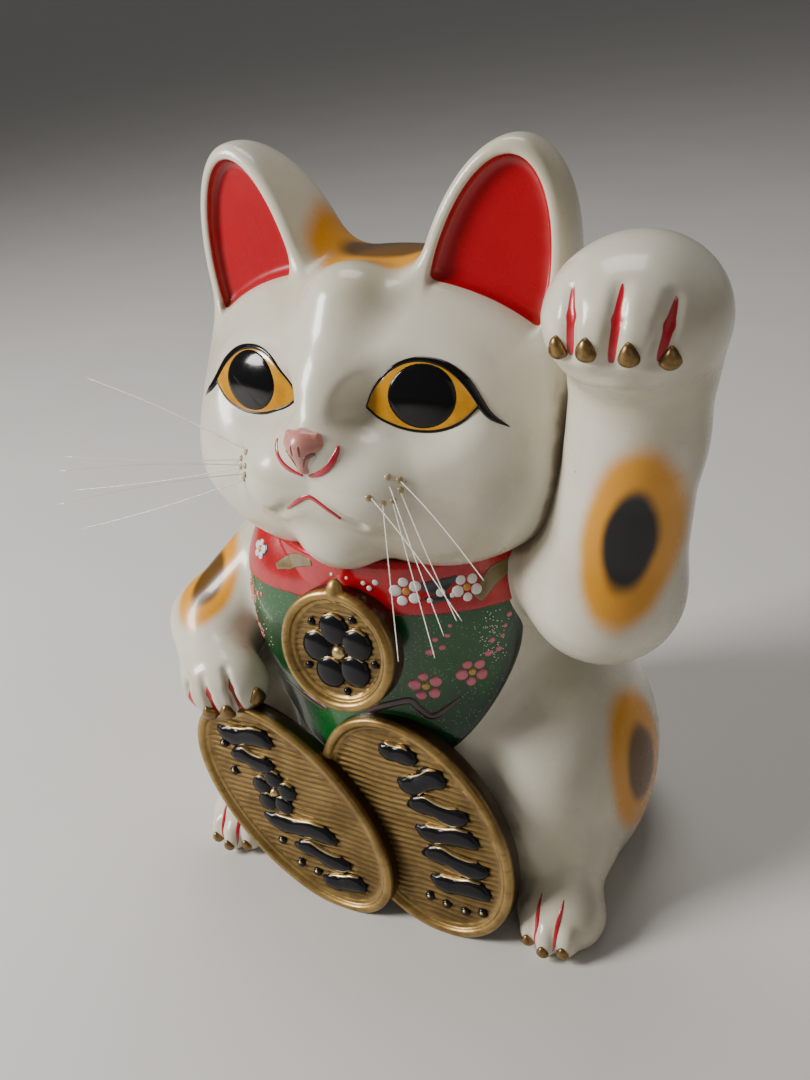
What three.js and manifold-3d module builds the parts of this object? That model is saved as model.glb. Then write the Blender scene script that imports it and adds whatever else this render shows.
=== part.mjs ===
// Beckoning cat figurine (maneki-neko), a slip-cast ceramic coin bank.
// Millimetres, +Z up. The cat faces -Y, its raised arm is on +X, and it stands on z = 0.

import * as THREE from 'three';
import { mergeVertices } from 'three/addons/utils/BufferGeometryUtils.js';
import Module from 'manifold-3d';

const wasm = await Module();
wasm.setup();

// ---- driving dimensions ----
const WALL = 4.5;             // thickness of the castings
const FLOOR = 10;            // thickness of the torso's floor
const GAP = 0.3;             // clearance between neighbouring pieces
const FAR = 600;             // reach of a cutting block, past everything
const ROUND_STEPS = 16;      // facets round a full circle
const ROOM_STEPS = 12;       // the same for the hollow inside a casting
const SMALL_STEPS = 12;      // and for eyes and nose
const DISC_STEPS = 32;       // and for flat round pieces

// Rounded masses of each casting: an ellipsoid has at/radii/lean, a limb has from/to/radii.
// A form with mirror: true is repeated on the other side of the cat.
const TORSO_FORMS = [
  { at: [0, 6, 112], radii: [108, 106, 168] },
  { at: [0, -18, 215], radii: [96, 86, 72] },
  { at: [0, -4, 226], radii: [93, 94, 66] },
  { at: [-56, -50, 200], radii: [38, 42, 58] },
  { at: [94, -14, 62], radii: [60, 88, 88], mirror: true },
];
const BELLY_FORMS = [
  { at: [0, -30, 95], radii: [95, 80, 95] },
  { at: [0, -35, 50], radii: [100, 76, 90] },
];
const FOOT_FORMS = [
  { from: [116, -60, 32], to: [116, -94, 16], radii: [27, 20], mirror: true },
  { at: [121, -98, 10], radii: [28, 25, 24], mirror: true },
];
const SKULL_FORMS = [
  { at: [0, -10, 322], radii: [126, 97, 81] },
  { at: [62, -42, 294], radii: [66, 60, 52], mirror: true },
];
const FACE_FORMS = [
  { at: [0, -66, 298], radii: [72, 54, 34] },
  { at: [19, -92, 301], radii: [27, 28, 24], mirror: true },
  { at: [0, -90, 272], radii: [26, 26, 20] },
  { from: [0, -82, 362], to: [0, -104, 328], radii: [15, 14] },
];
const EAR_FORM = { at: [70, -16, 379], radii: [43, 62, 91], lean: 14 };
const EAR_FRONT_Y = -42;     // the flat front of both ears
const EAR_RIM = 6;
const EAR_RECESS = 5;
const EAR_BACKING = 11;
const RAISED_ARM_FORMS = [
  { from: [92, -8, 225], to: [135, -44, 232], radii: [40, 44] },
  { from: [135, -44, 232], to: [153, -42, 322], radii: [44, 36] },
  { from: [153, -42, 322], to: [162, -48, 384], radii: [36, 42] },
  { at: [161, -64, 389], radii: [43, 46, 38] },
];
const LOWERED_ARM_FORMS = [
  { from: [-98, -24, 206], to: [-138, -68, 160], radii: [36, 29] },
  { from: [-138, -68, 160], to: [-112, -104, 144], radii: [29, 26] },
  { at: [-104, -107, 142], radii: [30, 24, 26] },
];
const TAIL_FORMS = [
  { from: [-6, 96, 24], to: [44, 88, 26], radii: [22, 20] },
  { from: [44, 88, 26], to: [88, 66, 28], radii: [20, 17] },
  { from: [88, 66, 28], to: [118, 50, 30], radii: [17, 14] },
];

// Openings of the castings
const NECK_RADIUS = 44;
const NECK_AT = [0, -14];
const NECK_TOP = 300;
const SLOT = { z: 205, width: 48, height: 6 };   // coin slot in the back
const BASE_HOLE = { y: 42, radius: 20, recessRadius: 28, recessDepth: 6 };

// Stopper
const STOPPER_FLANGE = 3.2;
const STOPPER_LENGTH = 18;
const STOPPER_TAPER = 1.5;
const STOPPER_WEB = 3;

// Collar, bib and medallion
const COLLAR = { at: [0, -8, 228], radii: [98, 98], depth: 26, height: 34, tilt: -5 };
const BIB = { centre: -10, halfWidth: 98, top: 230, bottom: 106, relief: 4 };
const MEDALLION = { at: [0, -121, 200], radius: 39, thickness: 15, rim: 5, tilt: -12 };
const MEDALLION_LOOP = { radius: 5, length: 9 };
const RIM_HEIGHT = 2.5;

// Coins: centre, half sizes and lean of each oval, in the plane of its face
const KOBAN_THICKNESS = 14;
const KOBAN_RIM = 6;
const KOBAN_TILT = -8;
const KOBAN_FRONT = { at: [-56, -128, 66], halfWidth: 52, halfLength: 88, lean: -48 };
const KOBAN_REAR = { at: [36, -120, 71], halfWidth: 60, halfLength: 84, lean: -34 };

// Face
const EYE = { at: [54, -75, 349], radii: [31, 7, 18.5], yaw: 10, tilt: -16 };
const NOSE = { at: [0, -118, 325], radii: [15, 9, 11] };
const WHISKER_RADIUS = 0.4;
const WHISKER_LENGTH = 118;
const WHISKER_ROOT = 4;      // length glued inside the wall
const WHISKER_LEFT = [
  { hole: [30, 304], sweep: 37, droop: 5 },
  { hole: [41, 316], sweep: 50, droop: 16 },
  { hole: [50, 313], sweep: 45, droop: 0 },
  { hole: [52, 306], sweep: 52, droop: 4 },
  { hole: [40, 298], sweep: 58, droop: 8 },
  { hole: [47, 299], sweep: 54, droop: 9 },
];
const WHISKER_RIGHT = [
  { hole: [44, 318], sweep: 2, droop: -17 },
  { hole: [52, 312], sweep: 16, droop: 0 },
  { hole: [41, 310], sweep: 22, droop: -2 },
  { hole: [53, 306], sweep: 15, droop: 8 },
  { hole: [42, 304], sweep: 26, droop: 3 },
  { hole: [47, 299], sweep: 18, droop: 14 },
];

// ---- finishes ----
const GLAZE = { color: 0xe9e4d4, roughness: 0.25, metalness: 0 };
const RED = { color: 0xb01020, roughness: 0.25, metalness: 0 };
const GREEN = { color: 0x16502c, roughness: 0.3, metalness: 0.1 };
const GOLD = { color: 0x8a6a2c, roughness: 0.4, metalness: 0.8 };
const EYE_BLACK = { color: 0x101010, roughness: 0.1, metalness: 0 };
const PINK = { color: 0xc98a82, roughness: 0.3, metalness: 0 };
const NYLON = { color: 0xd8d0c0, roughness: 0.4, metalness: 0 };
const RUBBER = { color: 0x202020, roughness: 0.8, metalness: 0 };

// ---- solids ----
const radians = THREE.MathUtils.degToRad;

function solid(geometry) {
  geometry.deleteAttribute('normal');
  geometry.deleteAttribute('uv');
  const merged = mergeVertices(geometry, 1e-4);
  return new wasm.Manifold(new wasm.Mesh({
    numProp: 3,
    vertProperties: new Float32Array(merged.attributes.position.array),
    triVerts: new Uint32Array(merged.index.array),
  }));
}

function join(solids) {
  return solids.reduce((sum, next) => sum.add(next));
}

function block(low, high) {
  const size = high.map((value, axis) => value - low[axis]);
  const middle = high.map((value, axis) => (value + low[axis]) / 2);
  return solid(new THREE.BoxGeometry(...size).translate(...middle));
}

function ellipsoid({ at, radii, lean = 0 }, grow, side, steps = grow < 0 ? ROOM_STEPS : ROUND_STEPS) {
  const geometry = new THREE.SphereGeometry(1, steps, steps / 2);
  geometry.rotateX(Math.PI / 2);
  geometry.scale(...radii.map((radius) => radius + grow));
  geometry.rotateY(radians(lean * side));
  return solid(geometry.translate(at[0] * side, at[1], at[2]));
}

// Two spheres joined by the cone that touches both.
function limb({ from, to, radii }, grow, side) {
  const around = grow < 0 ? ROOM_STEPS : ROUND_STEPS;
  const start = new THREE.Vector3(from[0] * side, from[1], from[2]);
  const along = new THREE.Vector3(to[0] * side, to[1], to[2]).sub(start);
  const length = along.length();
  const [startRadius, endRadius] = radii.map((radius) => radius + grow);
  const tangent = Math.asin((startRadius - endRadius) / length);
  const steps = around / 4;
  const points = [];
  const addArc = (height, radius, first, last) => {
    for (let step = 0; step <= steps; step += 1) {
      const angle = first + ((last - first) * step) / steps;
      const x = Math.max(0, radius * Math.cos(angle));
      points.push(new THREE.Vector2(x, height + radius * Math.sin(angle)));
    }
  };
  addArc(0, startRadius, -Math.PI / 2, tangent);
  addArc(length, endRadius, tangent, Math.PI / 2);
  points[0].x = 0;
  points[points.length - 1].x = 0;
  const geometry = new THREE.LatheGeometry(points, around);
  const turn = new THREE.Quaternion().setFromUnitVectors(new THREE.Vector3(0, 1, 0), along.normalize());
  geometry.applyQuaternion(turn);
  return solid(geometry.translate(start.x, start.y, start.z));
}

function masses(forms, grow = 0) {
  const solids = [];
  for (const form of forms) {
    const shape = form.from ? limb : ellipsoid;
    solids.push(shape(form, grow, 1));
    if (form.mirror) {
      solids.push(shape(form, grow, -1));
    }
  }
  return join(solids);
}

function cylinderZ(radius, bottom, top, [x, y]) {
  const geometry = new THREE.CylinderGeometry(radius, radius, top - bottom, DISC_STEPS);
  geometry.rotateX(Math.PI / 2);
  return solid(geometry.translate(x, y, (top + bottom) / 2));
}

function aboveLevel(shape, level) {
  return shape.subtract(block([-FAR, -FAR, level - FAR], [FAR, FAR, level]));
}

// ---- castings ----
function torsoMass(grow = 0) {
  return aboveLevel(masses([...TORSO_FORMS, ...BELLY_FORMS, ...FOOT_FORMS], grow), -grow);
}

function earMass(grow, front, side) {
  return ellipsoid(EAR_FORM, grow, side)
    .subtract(block([-FAR, front - FAR, -FAR], [FAR, front, FAR]));
}

function earsMass(grow, front) {
  return earMass(grow, front, 1).add(earMass(grow, front, -1));
}

function headMass(grow = 0) {
  return masses([...SKULL_FORMS, ...FACE_FORMS], grow).add(earsMass(grow, EAR_FRONT_Y - grow));
}

function neckBore() {
  return cylinderZ(NECK_RADIUS, 180, NECK_TOP, NECK_AT);
}

function baseHole() {
  const at = [0, BASE_HOLE.y];
  return cylinderZ(BASE_HOLE.radius, -1, FLOOR + 1, at)
    .add(cylinderZ(BASE_HOLE.recessRadius, -1, BASE_HOLE.recessDepth, at));
}

function coinSlot() {
  const half = [SLOT.width / 2, SLOT.height / 2];
  return block([-half[0], 60, SLOT.z - half[1]], [half[0], 130, SLOT.z + half[1]]);
}

function torsoShell() {
  const room = aboveLevel(masses([...TORSO_FORMS, ...BELLY_FORMS], -WALL), FLOOR);
  return torsoMass()
    .subtract(headMass(GAP))
    .subtract(room)
    .subtract(neckBore())
    .subtract(baseHole())
    .subtract(coinSlot());
}

function earRecesses() {
  const back = EAR_FRONT_Y + EAR_RECESS;
  const scoop = ellipsoid(EAR_FORM, -EAR_RIM, 1).add(ellipsoid(EAR_FORM, -EAR_RIM, -1));
  return scoop
    .subtract(block([-FAR, back, -FAR], [FAR, FAR, FAR]))
    .subtract(masses(SKULL_FORMS, 1));
}

function headShell() {
  const room = masses(SKULL_FORMS, -WALL).add(earsMass(-WALL * 1.5, EAR_FRONT_Y + EAR_BACKING));
  let shell = headMass()
    .subtract(room)
    .subtract(neckBore())
    .subtract(earRecesses());
  for (const side of [-1, 1]) {
    shell = shell.subtract(eyeball(side, GAP));
  }
  for (const whisker of [...WHISKERS_LEFT, ...WHISKERS_RIGHT]) {
    shell = shell.subtract(filament(whisker, GAP));
  }
  return shell;
}

function raisedArmShell() {
  return masses(RAISED_ARM_FORMS)
    .subtract(masses(RAISED_ARM_FORMS, -WALL))
    .subtract(torsoMass(GAP))
    .subtract(headMass(GAP));
}

function loweredArmShell() {
  return masses(LOWERED_ARM_FORMS)
    .subtract(masses(LOWERED_ARM_FORMS, -WALL))
    .subtract(torsoMass(GAP))
    .subtract(headMass(GAP))
    .subtract(kobanFront(GAP));
}

function tail() {
  return aboveLevel(masses(TAIL_FORMS), 0).subtract(torsoMass(GAP));
}

// ---- collar, bib and medallion ----
function collarMass(grow = 0) {
  const inner = 1 - COLLAR.depth / COLLAR.radii[1];
  const crown = 1 - 1.5 / COLLAR.radii[1];
  const half = COLLAR.height / 2 + grow;
  const points = [
    [inner, -half],
    [crown, -half],
    [1, -half * 0.6],
    [1, half * 0.6],
    [crown, half],
    [inner, half],
    [inner, -half],
  ].map(([x, y]) => new THREE.Vector2(x, y));
  const geometry = new THREE.LatheGeometry(points, DISC_STEPS);
  geometry.rotateX(Math.PI / 2);
  geometry.scale(COLLAR.radii[0] + grow, COLLAR.radii[1] + grow, 1);
  geometry.rotateX(radians(COLLAR.tilt));
  return solid(geometry.translate(...COLLAR.at));
}

function bibOutline() {
  const shape = new THREE.Shape();
  const { centre, halfWidth, top, bottom } = BIB;
  const left = centre + halfWidth;
  const right = centre - halfWidth;
  const bend = halfWidth * 0.45;
  shape.moveTo(right, top);
  shape.bezierCurveTo(right, bottom + 30, centre - bend, bottom, centre, bottom);
  shape.bezierCurveTo(centre + bend, bottom, left, bottom + 30, left, top);
  shape.lineTo(right, top);
  return shape;
}

function bibMass(grow) {
  const outline = new THREE.ExtrudeGeometry(bibOutline(), { depth: 120, bevelEnabled: false, curveSegments: 10 });
  outline.rotateX(Math.PI / 2);
  outline.translate(0, -40, 0);
  return torsoMass(BIB.relief + grow).intersect(solid(outline));
}

function disc({ at, radius, thickness, rim, tilt }, grow) {
  const r = radius + grow;
  const points = [
    [0, thickness + grow],
    [r, thickness + grow],
    [r, -grow],
    [r - rim * 0.3, -RIM_HEIGHT * 0.4 - grow],
    [r - rim, -RIM_HEIGHT * 0.4 - grow],
    [r - rim - 1, RIM_HEIGHT * 0.6 - grow],
    [0, RIM_HEIGHT * 0.6 - grow],
  ].map(([x, y]) => new THREE.Vector2(x, y));
  const geometry = new THREE.LatheGeometry(points.reverse(), DISC_STEPS);
  geometry.rotateX(radians(tilt));
  return solid(geometry.translate(...at));
}

function medallionLoop(grow) {
  const { at, radius, tilt } = MEDALLION;
  const geometry = new THREE.CylinderGeometry(
    MEDALLION_LOOP.radius + grow, MEDALLION_LOOP.radius + grow, MEDALLION_LOOP.length, SMALL_STEPS);
  geometry.rotateX(radians(90));
  geometry.translate(0, 4, radius - 1);
  geometry.rotateX(radians(tilt));
  return solid(geometry.translate(...at));
}

function medallionMass(grow = 0) {
  return disc(MEDALLION, grow).add(medallionLoop(grow));
}

// ---- coins ----
function oval({ at, halfWidth, halfLength, lean }, grow, inset, front, back) {
  const shape = new THREE.Shape();
  shape.absellipse(0, 0, halfWidth + grow - inset, halfLength + grow - inset, 0, Math.PI * 2, false, 0);
  const geometry = new THREE.ExtrudeGeometry(shape, { depth: back - front, bevelEnabled: false, curveSegments: 18 });
  geometry.translate(0, 0, -back);
  geometry.rotateZ(radians(-lean));
  geometry.rotateX(radians(90 + KOBAN_TILT));
  return solid(geometry.translate(...at));
}

function koban(coin, grow) {
  const plate = oval(coin, grow, 0, -grow, KOBAN_THICKNESS + grow);
  const field = oval(coin, 0, KOBAN_RIM, -5, RIM_HEIGHT);
  return aboveLevel(grow > 0 ? plate : plate.subtract(field), -grow);
}

function kobanFront(grow = 0) {
  return koban(KOBAN_FRONT, grow);
}

function kobanRear(grow = 0) {
  return koban(KOBAN_REAR, grow).subtract(kobanFront(GAP + grow));
}

// ---- face ----
function eyeball(side, grow = 0) {
  const { at, radii, yaw, tilt } = EYE;
  const geometry = new THREE.SphereGeometry(1, SMALL_STEPS, SMALL_STEPS / 2);
  geometry.scale(...radii.map((radius) => radius + grow));
  geometry.rotateX(radians(tilt));
  geometry.rotateZ(radians(yaw * side));
  return solid(geometry.translate(at[0] * side, at[1], at[2]));
}

function nose() {
  return ellipsoid(NOSE, 0, 1, SMALL_STEPS).subtract(headMass(GAP));
}

// How far forward the face reaches at a point of the muzzle.
function faceY(x, z) {
  let front = 0;
  for (const { at, radii } of [...SKULL_FORMS, ...FACE_FORMS]) {
    if (at) {
      const across = (Math.abs(x) - at[0]) / radii[0];
      const up = (z - at[2]) / radii[2];
      const forward = Math.sqrt(Math.max(0, 1 - across ** 2 - up ** 2));
      front = forward > 0 ? Math.min(front, at[1] - radii[1] * forward) : front;
    }
  }
  return front;
}

// Sweep is measured from straight sideways towards the front, droop downwards.
function placeWhisker({ hole, sweep, droop }, side) {
  const [x, z] = hole;
  const level = Math.cos(radians(droop));
  const direction = new THREE.Vector3(
    side * Math.cos(radians(sweep)) * level, -Math.sin(radians(sweep)) * level, -Math.sin(radians(droop)));
  const root = new THREE.Vector3(x * side, faceY(x, z), z).addScaledVector(direction, -WHISKER_ROOT);
  return { root, direction };
}

function filament({ root, direction }, grow = 0) {
  const radius = WHISKER_RADIUS + grow;
  const length = WHISKER_LENGTH + WHISKER_ROOT;
  const geometry = new THREE.CylinderGeometry(radius, radius, length + grow, 6);
  geometry.translate(0, (length - grow) / 2, 0);
  const turn = new THREE.Quaternion().setFromUnitVectors(new THREE.Vector3(0, 1, 0), direction);
  geometry.applyQuaternion(turn);
  return solid(geometry.translate(...root));
}

// ---- stopper ----
function baseStopper() {
  const top = BASE_HOLE.recessDepth - GAP;
  const neck = BASE_HOLE.radius - GAP;
  const flange = BASE_HOLE.recessRadius - 1;
  const bottom = top - STOPPER_FLANGE;
  const points = [
    [0, bottom],
    [flange - 1, bottom],
    [flange, bottom + 1],
    [flange, top],
    [neck, top],
    [neck, FLOOR],
    [neck - STOPPER_TAPER, top + STOPPER_LENGTH],
    [neck - STOPPER_TAPER - STOPPER_WEB, top + STOPPER_LENGTH],
    [neck - STOPPER_TAPER - STOPPER_WEB, top],
    [0, top],
  ].map(([x, y]) => new THREE.Vector2(x, y));
  const geometry = new THREE.LatheGeometry(points, DISC_STEPS);
  geometry.rotateX(Math.PI / 2);
  return solid(geometry.translate(0, BASE_HOLE.y, 0));
}

// ---- reliefs fitted against their neighbours ----
function clearOf(shape, neighbours) {
  return neighbours.reduce((rest, neighbour) => rest.subtract(neighbour), shape);
}

function arms() {
  return masses([...RAISED_ARM_FORMS], GAP).add(masses(LOWERED_ARM_FORMS, GAP));
}

function collar() {
  return clearOf(collarMass(), [torsoMass(GAP), headMass(GAP), arms()]);
}

function bib() {
  const neighbours = [torsoMass(GAP), headMass(GAP), arms(), collarMass(GAP), kobanFront(GAP), kobanRear(GAP)];
  return clearOf(bibMass(0), neighbours);
}

function medallion() {
  return clearOf(medallionMass(), [torsoMass(BIB.relief + GAP), collarMass(GAP)]);
}

// The largest body of a shape, without the crumbs that a cut leaves.
function mainBody(shape) {
  return shape.decompose().sort((a, b) => b.volume() - a.volume())[0];
}

function piece(name, shape, finish) {
  const { vertProperties, triVerts } = mainBody(shape).getMesh();
  const geometry = new THREE.BufferGeometry();
  geometry.setAttribute('position', new THREE.BufferAttribute(vertProperties, 3));
  geometry.setIndex(new THREE.BufferAttribute(triVerts, 1));
  geometry.computeVertexNormals();
  const mesh = new THREE.Mesh(geometry, new THREE.MeshStandardMaterial(finish));
  mesh.name = name;
  return mesh;
}

const WHISKERS_LEFT = WHISKER_LEFT.map((whisker) => placeWhisker(whisker, 1));
const WHISKERS_RIGHT = WHISKER_RIGHT.map((whisker) => placeWhisker(whisker, -1));

const figurine = new THREE.Group();
figurine.add(
  piece('torso_shell', torsoShell(), GLAZE),
  piece('head_shell', headShell(), GLAZE),
  piece('raised_arm_shell', raisedArmShell(), GLAZE),
  piece('lowered_arm_shell', loweredArmShell(), GLAZE),
  piece('tail', tail(), GLAZE),
  piece('collar', collar(), RED),
  piece('bib', bib(), GREEN),
  piece('medallion', medallion(), GOLD),
  piece('koban_front', clearOf(kobanFront(), [torsoMass(GAP)]), GOLD),
  piece('koban_rear', clearOf(kobanRear(), [torsoMass(GAP)]), GOLD),
  piece('eye_left', eyeball(1), EYE_BLACK),
  piece('eye_right', eyeball(-1), EYE_BLACK),
  piece('nose', nose(), PINK),
  piece('base_stopper', baseStopper(), RUBBER),
);
WHISKERS_LEFT.forEach((whisker, index) => {
  figurine.add(piece(`whisker_left_${index + 1}`, filament(whisker), NYLON));
});
WHISKERS_RIGHT.forEach((whisker, index) => {
  figurine.add(piece(`whisker_right_${index + 1}`, filament(whisker), NYLON));
});

export default figurine;
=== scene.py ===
"""Looks of the beckoning cat figurine: glazed castings, painted reliefs, whiskers and stopper.

The cat faces -Y with its raised arm on +X. Shapes are worked out in millimetres and built in metres.
"""
import math

import bpy
import numpy as np
from mathutils import Matrix, Vector


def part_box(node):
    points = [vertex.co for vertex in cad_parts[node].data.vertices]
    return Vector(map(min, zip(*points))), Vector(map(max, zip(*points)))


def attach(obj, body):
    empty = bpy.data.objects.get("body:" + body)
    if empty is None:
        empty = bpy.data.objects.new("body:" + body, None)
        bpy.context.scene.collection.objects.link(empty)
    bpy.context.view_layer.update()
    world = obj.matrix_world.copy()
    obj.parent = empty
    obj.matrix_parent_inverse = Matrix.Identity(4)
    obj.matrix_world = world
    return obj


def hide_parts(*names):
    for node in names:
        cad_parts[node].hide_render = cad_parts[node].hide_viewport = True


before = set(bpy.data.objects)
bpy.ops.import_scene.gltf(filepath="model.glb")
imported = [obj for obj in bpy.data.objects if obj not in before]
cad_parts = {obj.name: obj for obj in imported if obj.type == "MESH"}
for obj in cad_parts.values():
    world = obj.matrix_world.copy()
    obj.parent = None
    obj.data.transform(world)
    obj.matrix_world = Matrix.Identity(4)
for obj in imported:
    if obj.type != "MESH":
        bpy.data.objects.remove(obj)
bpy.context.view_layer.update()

MM = 0.001

# ---- shapes as signed distances: points in millimetres, negative inside ----
EYE_AT = (54.0, -79.0, 349.5)
EYE_YAW = 10.0
EYE_TILT = 14.0
EAR_AT = (70.0, -16.0, 378.0)
EAR_RADII = (42.0, 61.0, 91.0)
EAR_LEAN = 14.0
EAR_FRONT = (34.0, -41.0, 404.0)
EAR_FACING = (0.15, -0.98, 0.115)
EAR_RIM = 7.0
EAR_RECESS = 7.0

# Painted grooves between the toes, each from the top of its paw to the tip
RAISED_SLITS = [
    [(145, -95, 416), (147, -103, 405), (146, -105, 388)],
    [(169, -98, 418), (169, -106, 405), (166.5, -109, 387)],
    [(191, -91, 412), (189.5, -98, 401), (186, -101, 386)],
]
LOWERED_SLITS = [
    [(-93, -117, 163), (-88, -122, 152), (-84.5, -122, 134)],
    [(-105.5, -126, 158), (-102, -129, 148), (-100, -128, 129)],
    [(-119, -126, 152), (-119.5, -129, 139), (-118, -127, 124)],
]
FOOT_TOES = [(108, -114, 11), (120, -119, 11), (132, -116, 12)]

# Balls that melt into one another: centre, radii and fillet
TORSO_BALLS = [((0, 8, 112), (106, 102, 168), 0), ((0, -18, 215), (94, 84, 70), 30),
               ((0, -28, 95), (92, 78, 92), 30), ((0, -36, 46), (96, 72, 84), 24),
               ((-58, -50, 188), (40, 43, 70), 24)]
SKULL_BALLS = [((0, -8, 325), (127, 94, 79), 0), ((61, -42, 292), (58, 57, 48), 26),
               ((36, -52, 272), (50, 46, 34), 18), ((0, -64, 299), (72, 55, 40), 18)]
RAISED_ARM = [(92, -8, 225), (137, -44, 229), (157, -42, 322), (164, -47, 386)]
RAISED_ARM_RADII = [38, 43, 33.5, 40]
LOWERED_ARM = [(-92, -20, 206), (-138, -68, 160), (-112, -104, 144)]
LOWERED_ARM_RADII = [35, 28, 25]
TAIL = [(-6, 96, 24), (44, 88, 26), (88, 66, 28), (114, 50, 30)]
TAIL_RADII = [21, 20, 17, 14]
TORSO_ROOM = dict(at=(0, 4, 110), radii=(84, 78, 98))

COLLAR_AT = (0.0, -9.0, 228.0)
COLLAR_RADIUS = 94.5
COLLAR_HALF_HEIGHT = 17.0
COLLAR_TILT = 5.0
COLLAR_LIFT = 5.0   # half of what the band loses at its lower edge at the back, to clear the coin slot
BIB_CENTRE = (-10.0, 232.0)
BIB_HALF_WIDTH = 99.0
BIB_DROP = 128.0
BIB_RELIEF = 1.8

MEDALLION_AT = (0.0, -121.0, 201.5)
MEDALLION_TILT = 12.0
MEDALLION_RADIUS = 38.5
MEDALLION_THICKNESS = 15.0
MEDALLION_RECESS = 2.4
KOBAN_TILT = 8.0
KOBAN_THICKNESS = 13.5
KOBAN_RECESS = 2.2
RIM_INSET = 3.4
RIM_RADIUS = 3.2
BEAD_INSET = 8.0
KOBAN_FRONT = dict(at=(-53.5, -128.0, 66.5), half=(51.5, 87.5), lean=-48.0)
KOBAN_REAR = dict(at=(35.0, -120.0, 72.5), half=(59.5, 81.0), lean=-34.0)
COIN_SLOT = dict(z=205.0, half=(24.0, 3.0))
BASE_HOLE = dict(y=42.0, radius=20.0, height=60.0, recess=28.0, depth=6.0)


def ball(p, at, radii, turn=None):
    """An ellipsoid; the rows of turn are its own axes."""
    q = p - np.array(at, np.float32)
    if turn is not None:
        q = q @ np.array(turn, np.float32).T
    r = np.array(radii, np.float32)
    reach = np.sqrt(((q / r) ** 2).sum(-1))
    slope = np.sqrt(((q / r ** 2) ** 2).sum(-1))
    return reach * (reach - 1.0) / np.maximum(slope, 1e-6)


def limb(p, start, end, r1, r2):
    """Two balls joined by the cone that touches both."""
    a = np.array(start, np.float32)
    ba = np.array(end, np.float32) - a
    l2 = float(ba @ ba)
    rr = r1 - r2
    a2 = l2 - rr * rr
    pa = p - a
    y = pa @ ba
    z = y - l2
    v = pa * l2 - y[..., None] * ba
    x2 = (v * v).sum(-1)
    y2 = y * y * l2
    z2 = z * z * l2
    k = np.sign(rr) * rr * rr * x2
    far = (np.sign(z) * a2 * z2) > k
    near = (np.sign(y) * a2 * y2) < k
    middle = (np.sqrt(x2 * a2 / l2) + y * rr) / l2 - r1
    ends = np.where(near, np.sqrt(x2 + y2) / l2 - r1, middle)
    return np.where(far, np.sqrt(x2 + z2) / l2 - r2, ends)


def melt(a, b, k):
    """Joins two shapes with a fillet of size k."""
    h = np.maximum(k - np.abs(a - b), 0) / k
    return np.minimum(a, b) - h * h * k * 0.25


def carve(a, b, k):
    """Cuts b out of a, with an edge rounded by k."""
    return -melt(-a, b, k)


def common(a, b, k):
    """What two shapes share, with an edge rounded by k."""
    return -melt(-a, -b, k)


def chain(p, points, radii, k):
    """Limbs through several points."""
    d = limb(p, points[0], points[1], radii[0], radii[1])
    for i in range(1, len(points) - 1):
        d = melt(d, limb(p, points[i], points[i + 1], radii[i], radii[i + 1]), k)
    return d


def balls(p, forms):
    """Several balls melted together."""
    d = ball(p, *forms[0][:2])
    for at, radii, k in forms[1:]:
        d = melt(d, ball(p, at, radii), k)
    return d


def grooved(d, p, slits, radii, k):
    """A paw with grooves between its toes."""
    for slit in slits:
        d = carve(d, chain(p, slit, radii, 2), k)
    return d


def both_sides(p):
    """Points mirrored onto the +X side."""
    q = p.copy()
    q[..., 0] = np.abs(q[..., 0])
    return q


def axes(yaw, tilt):
    """Rows across, up and out of a face turned by yaw towards +X and tilted back."""
    t, y = math.radians(tilt), math.radians(yaw)
    across = np.array([math.cos(y), math.sin(y), 0.0])
    out = np.array([math.sin(y) * math.cos(t), -math.cos(y) * math.cos(t), math.sin(t)])
    return np.array([across, np.cross(out, across), out])


def leaning(angle):
    """Rows of a frame that leans by angle towards +X."""
    a = math.radians(angle)
    return np.array([[math.cos(a), 0, -math.sin(a)], [0, 1, 0], [math.sin(a), 0, math.cos(a)]])


def local(p, at, rows):
    return (p - np.array(at, np.float32)) @ np.array(rows, np.float32).T


def torso_body(p):
    """Trunk, haunches and feet."""
    m = both_sides(p)
    d = balls(p, TORSO_BALLS)
    d = melt(d, ball(m, (96, -14, 66), (57, 86, 86)), 16)
    d = melt(d, limb(m, (117, -66, 40), (119, -94, 18), 27, 21), 14)
    d = melt(d, ball(m, (121, -97, 12), (28, 25, 23)), 10)
    for toe in FOOT_TOES:
        d = melt(d, ball(m, toe, (7.5, 9, 12)), 3)
    return d


def torso(p):
    """The torso with its tail, cut flat at the base."""
    d = np.maximum(torso_body(p), -p[..., 2])
    d = melt(d, chain(p, TAIL, TAIL_RADII, 8), 6)
    return np.maximum(d, -p[..., 2])


def torso_casting(p):
    """The torso with its coin slot, its floor hole and the room inside."""
    wide, tall = COIN_SLOT["half"]
    slot = np.maximum(np.abs(p[..., 0]) - wide, np.abs(p[..., 2] - COIN_SLOT["z"]) - tall)
    d = carve(torso(p), np.maximum(slot, -p[..., 1]), 2.5)
    d = carve(d, ball(p, **TORSO_ROOM), 1)
    radius = np.hypot(p[..., 0], p[..., 1] - BASE_HOLE["y"])
    hole = np.maximum(radius - BASE_HOLE["radius"], p[..., 2] - BASE_HOLE["height"])
    recess = np.maximum(radius - BASE_HOLE["recess"], p[..., 2] - BASE_HOLE["depth"])
    return carve(carve(d, hole, 0.8), recess, 0.8)


def ear_solid(m, inset=0.0):
    radii = tuple(r - inset for r in EAR_RADII)
    return ball(m, EAR_AT, radii, leaning(EAR_LEAN))


def ear_front(m):
    """Distance in front of the flat front of the ear."""
    n = np.array(EAR_FACING)
    n = (n / np.linalg.norm(n)).astype(np.float32)
    return (m - np.array(EAR_FRONT, np.float32)) @ n


def ear_recess(m, skull):
    """The hollow of each ear, down to the skull."""
    d = common(ear_solid(m, EAR_RIM), -ear_front(m) - EAR_RECESS, 8)
    return common(d, 3.5 - skull, 4)


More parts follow.
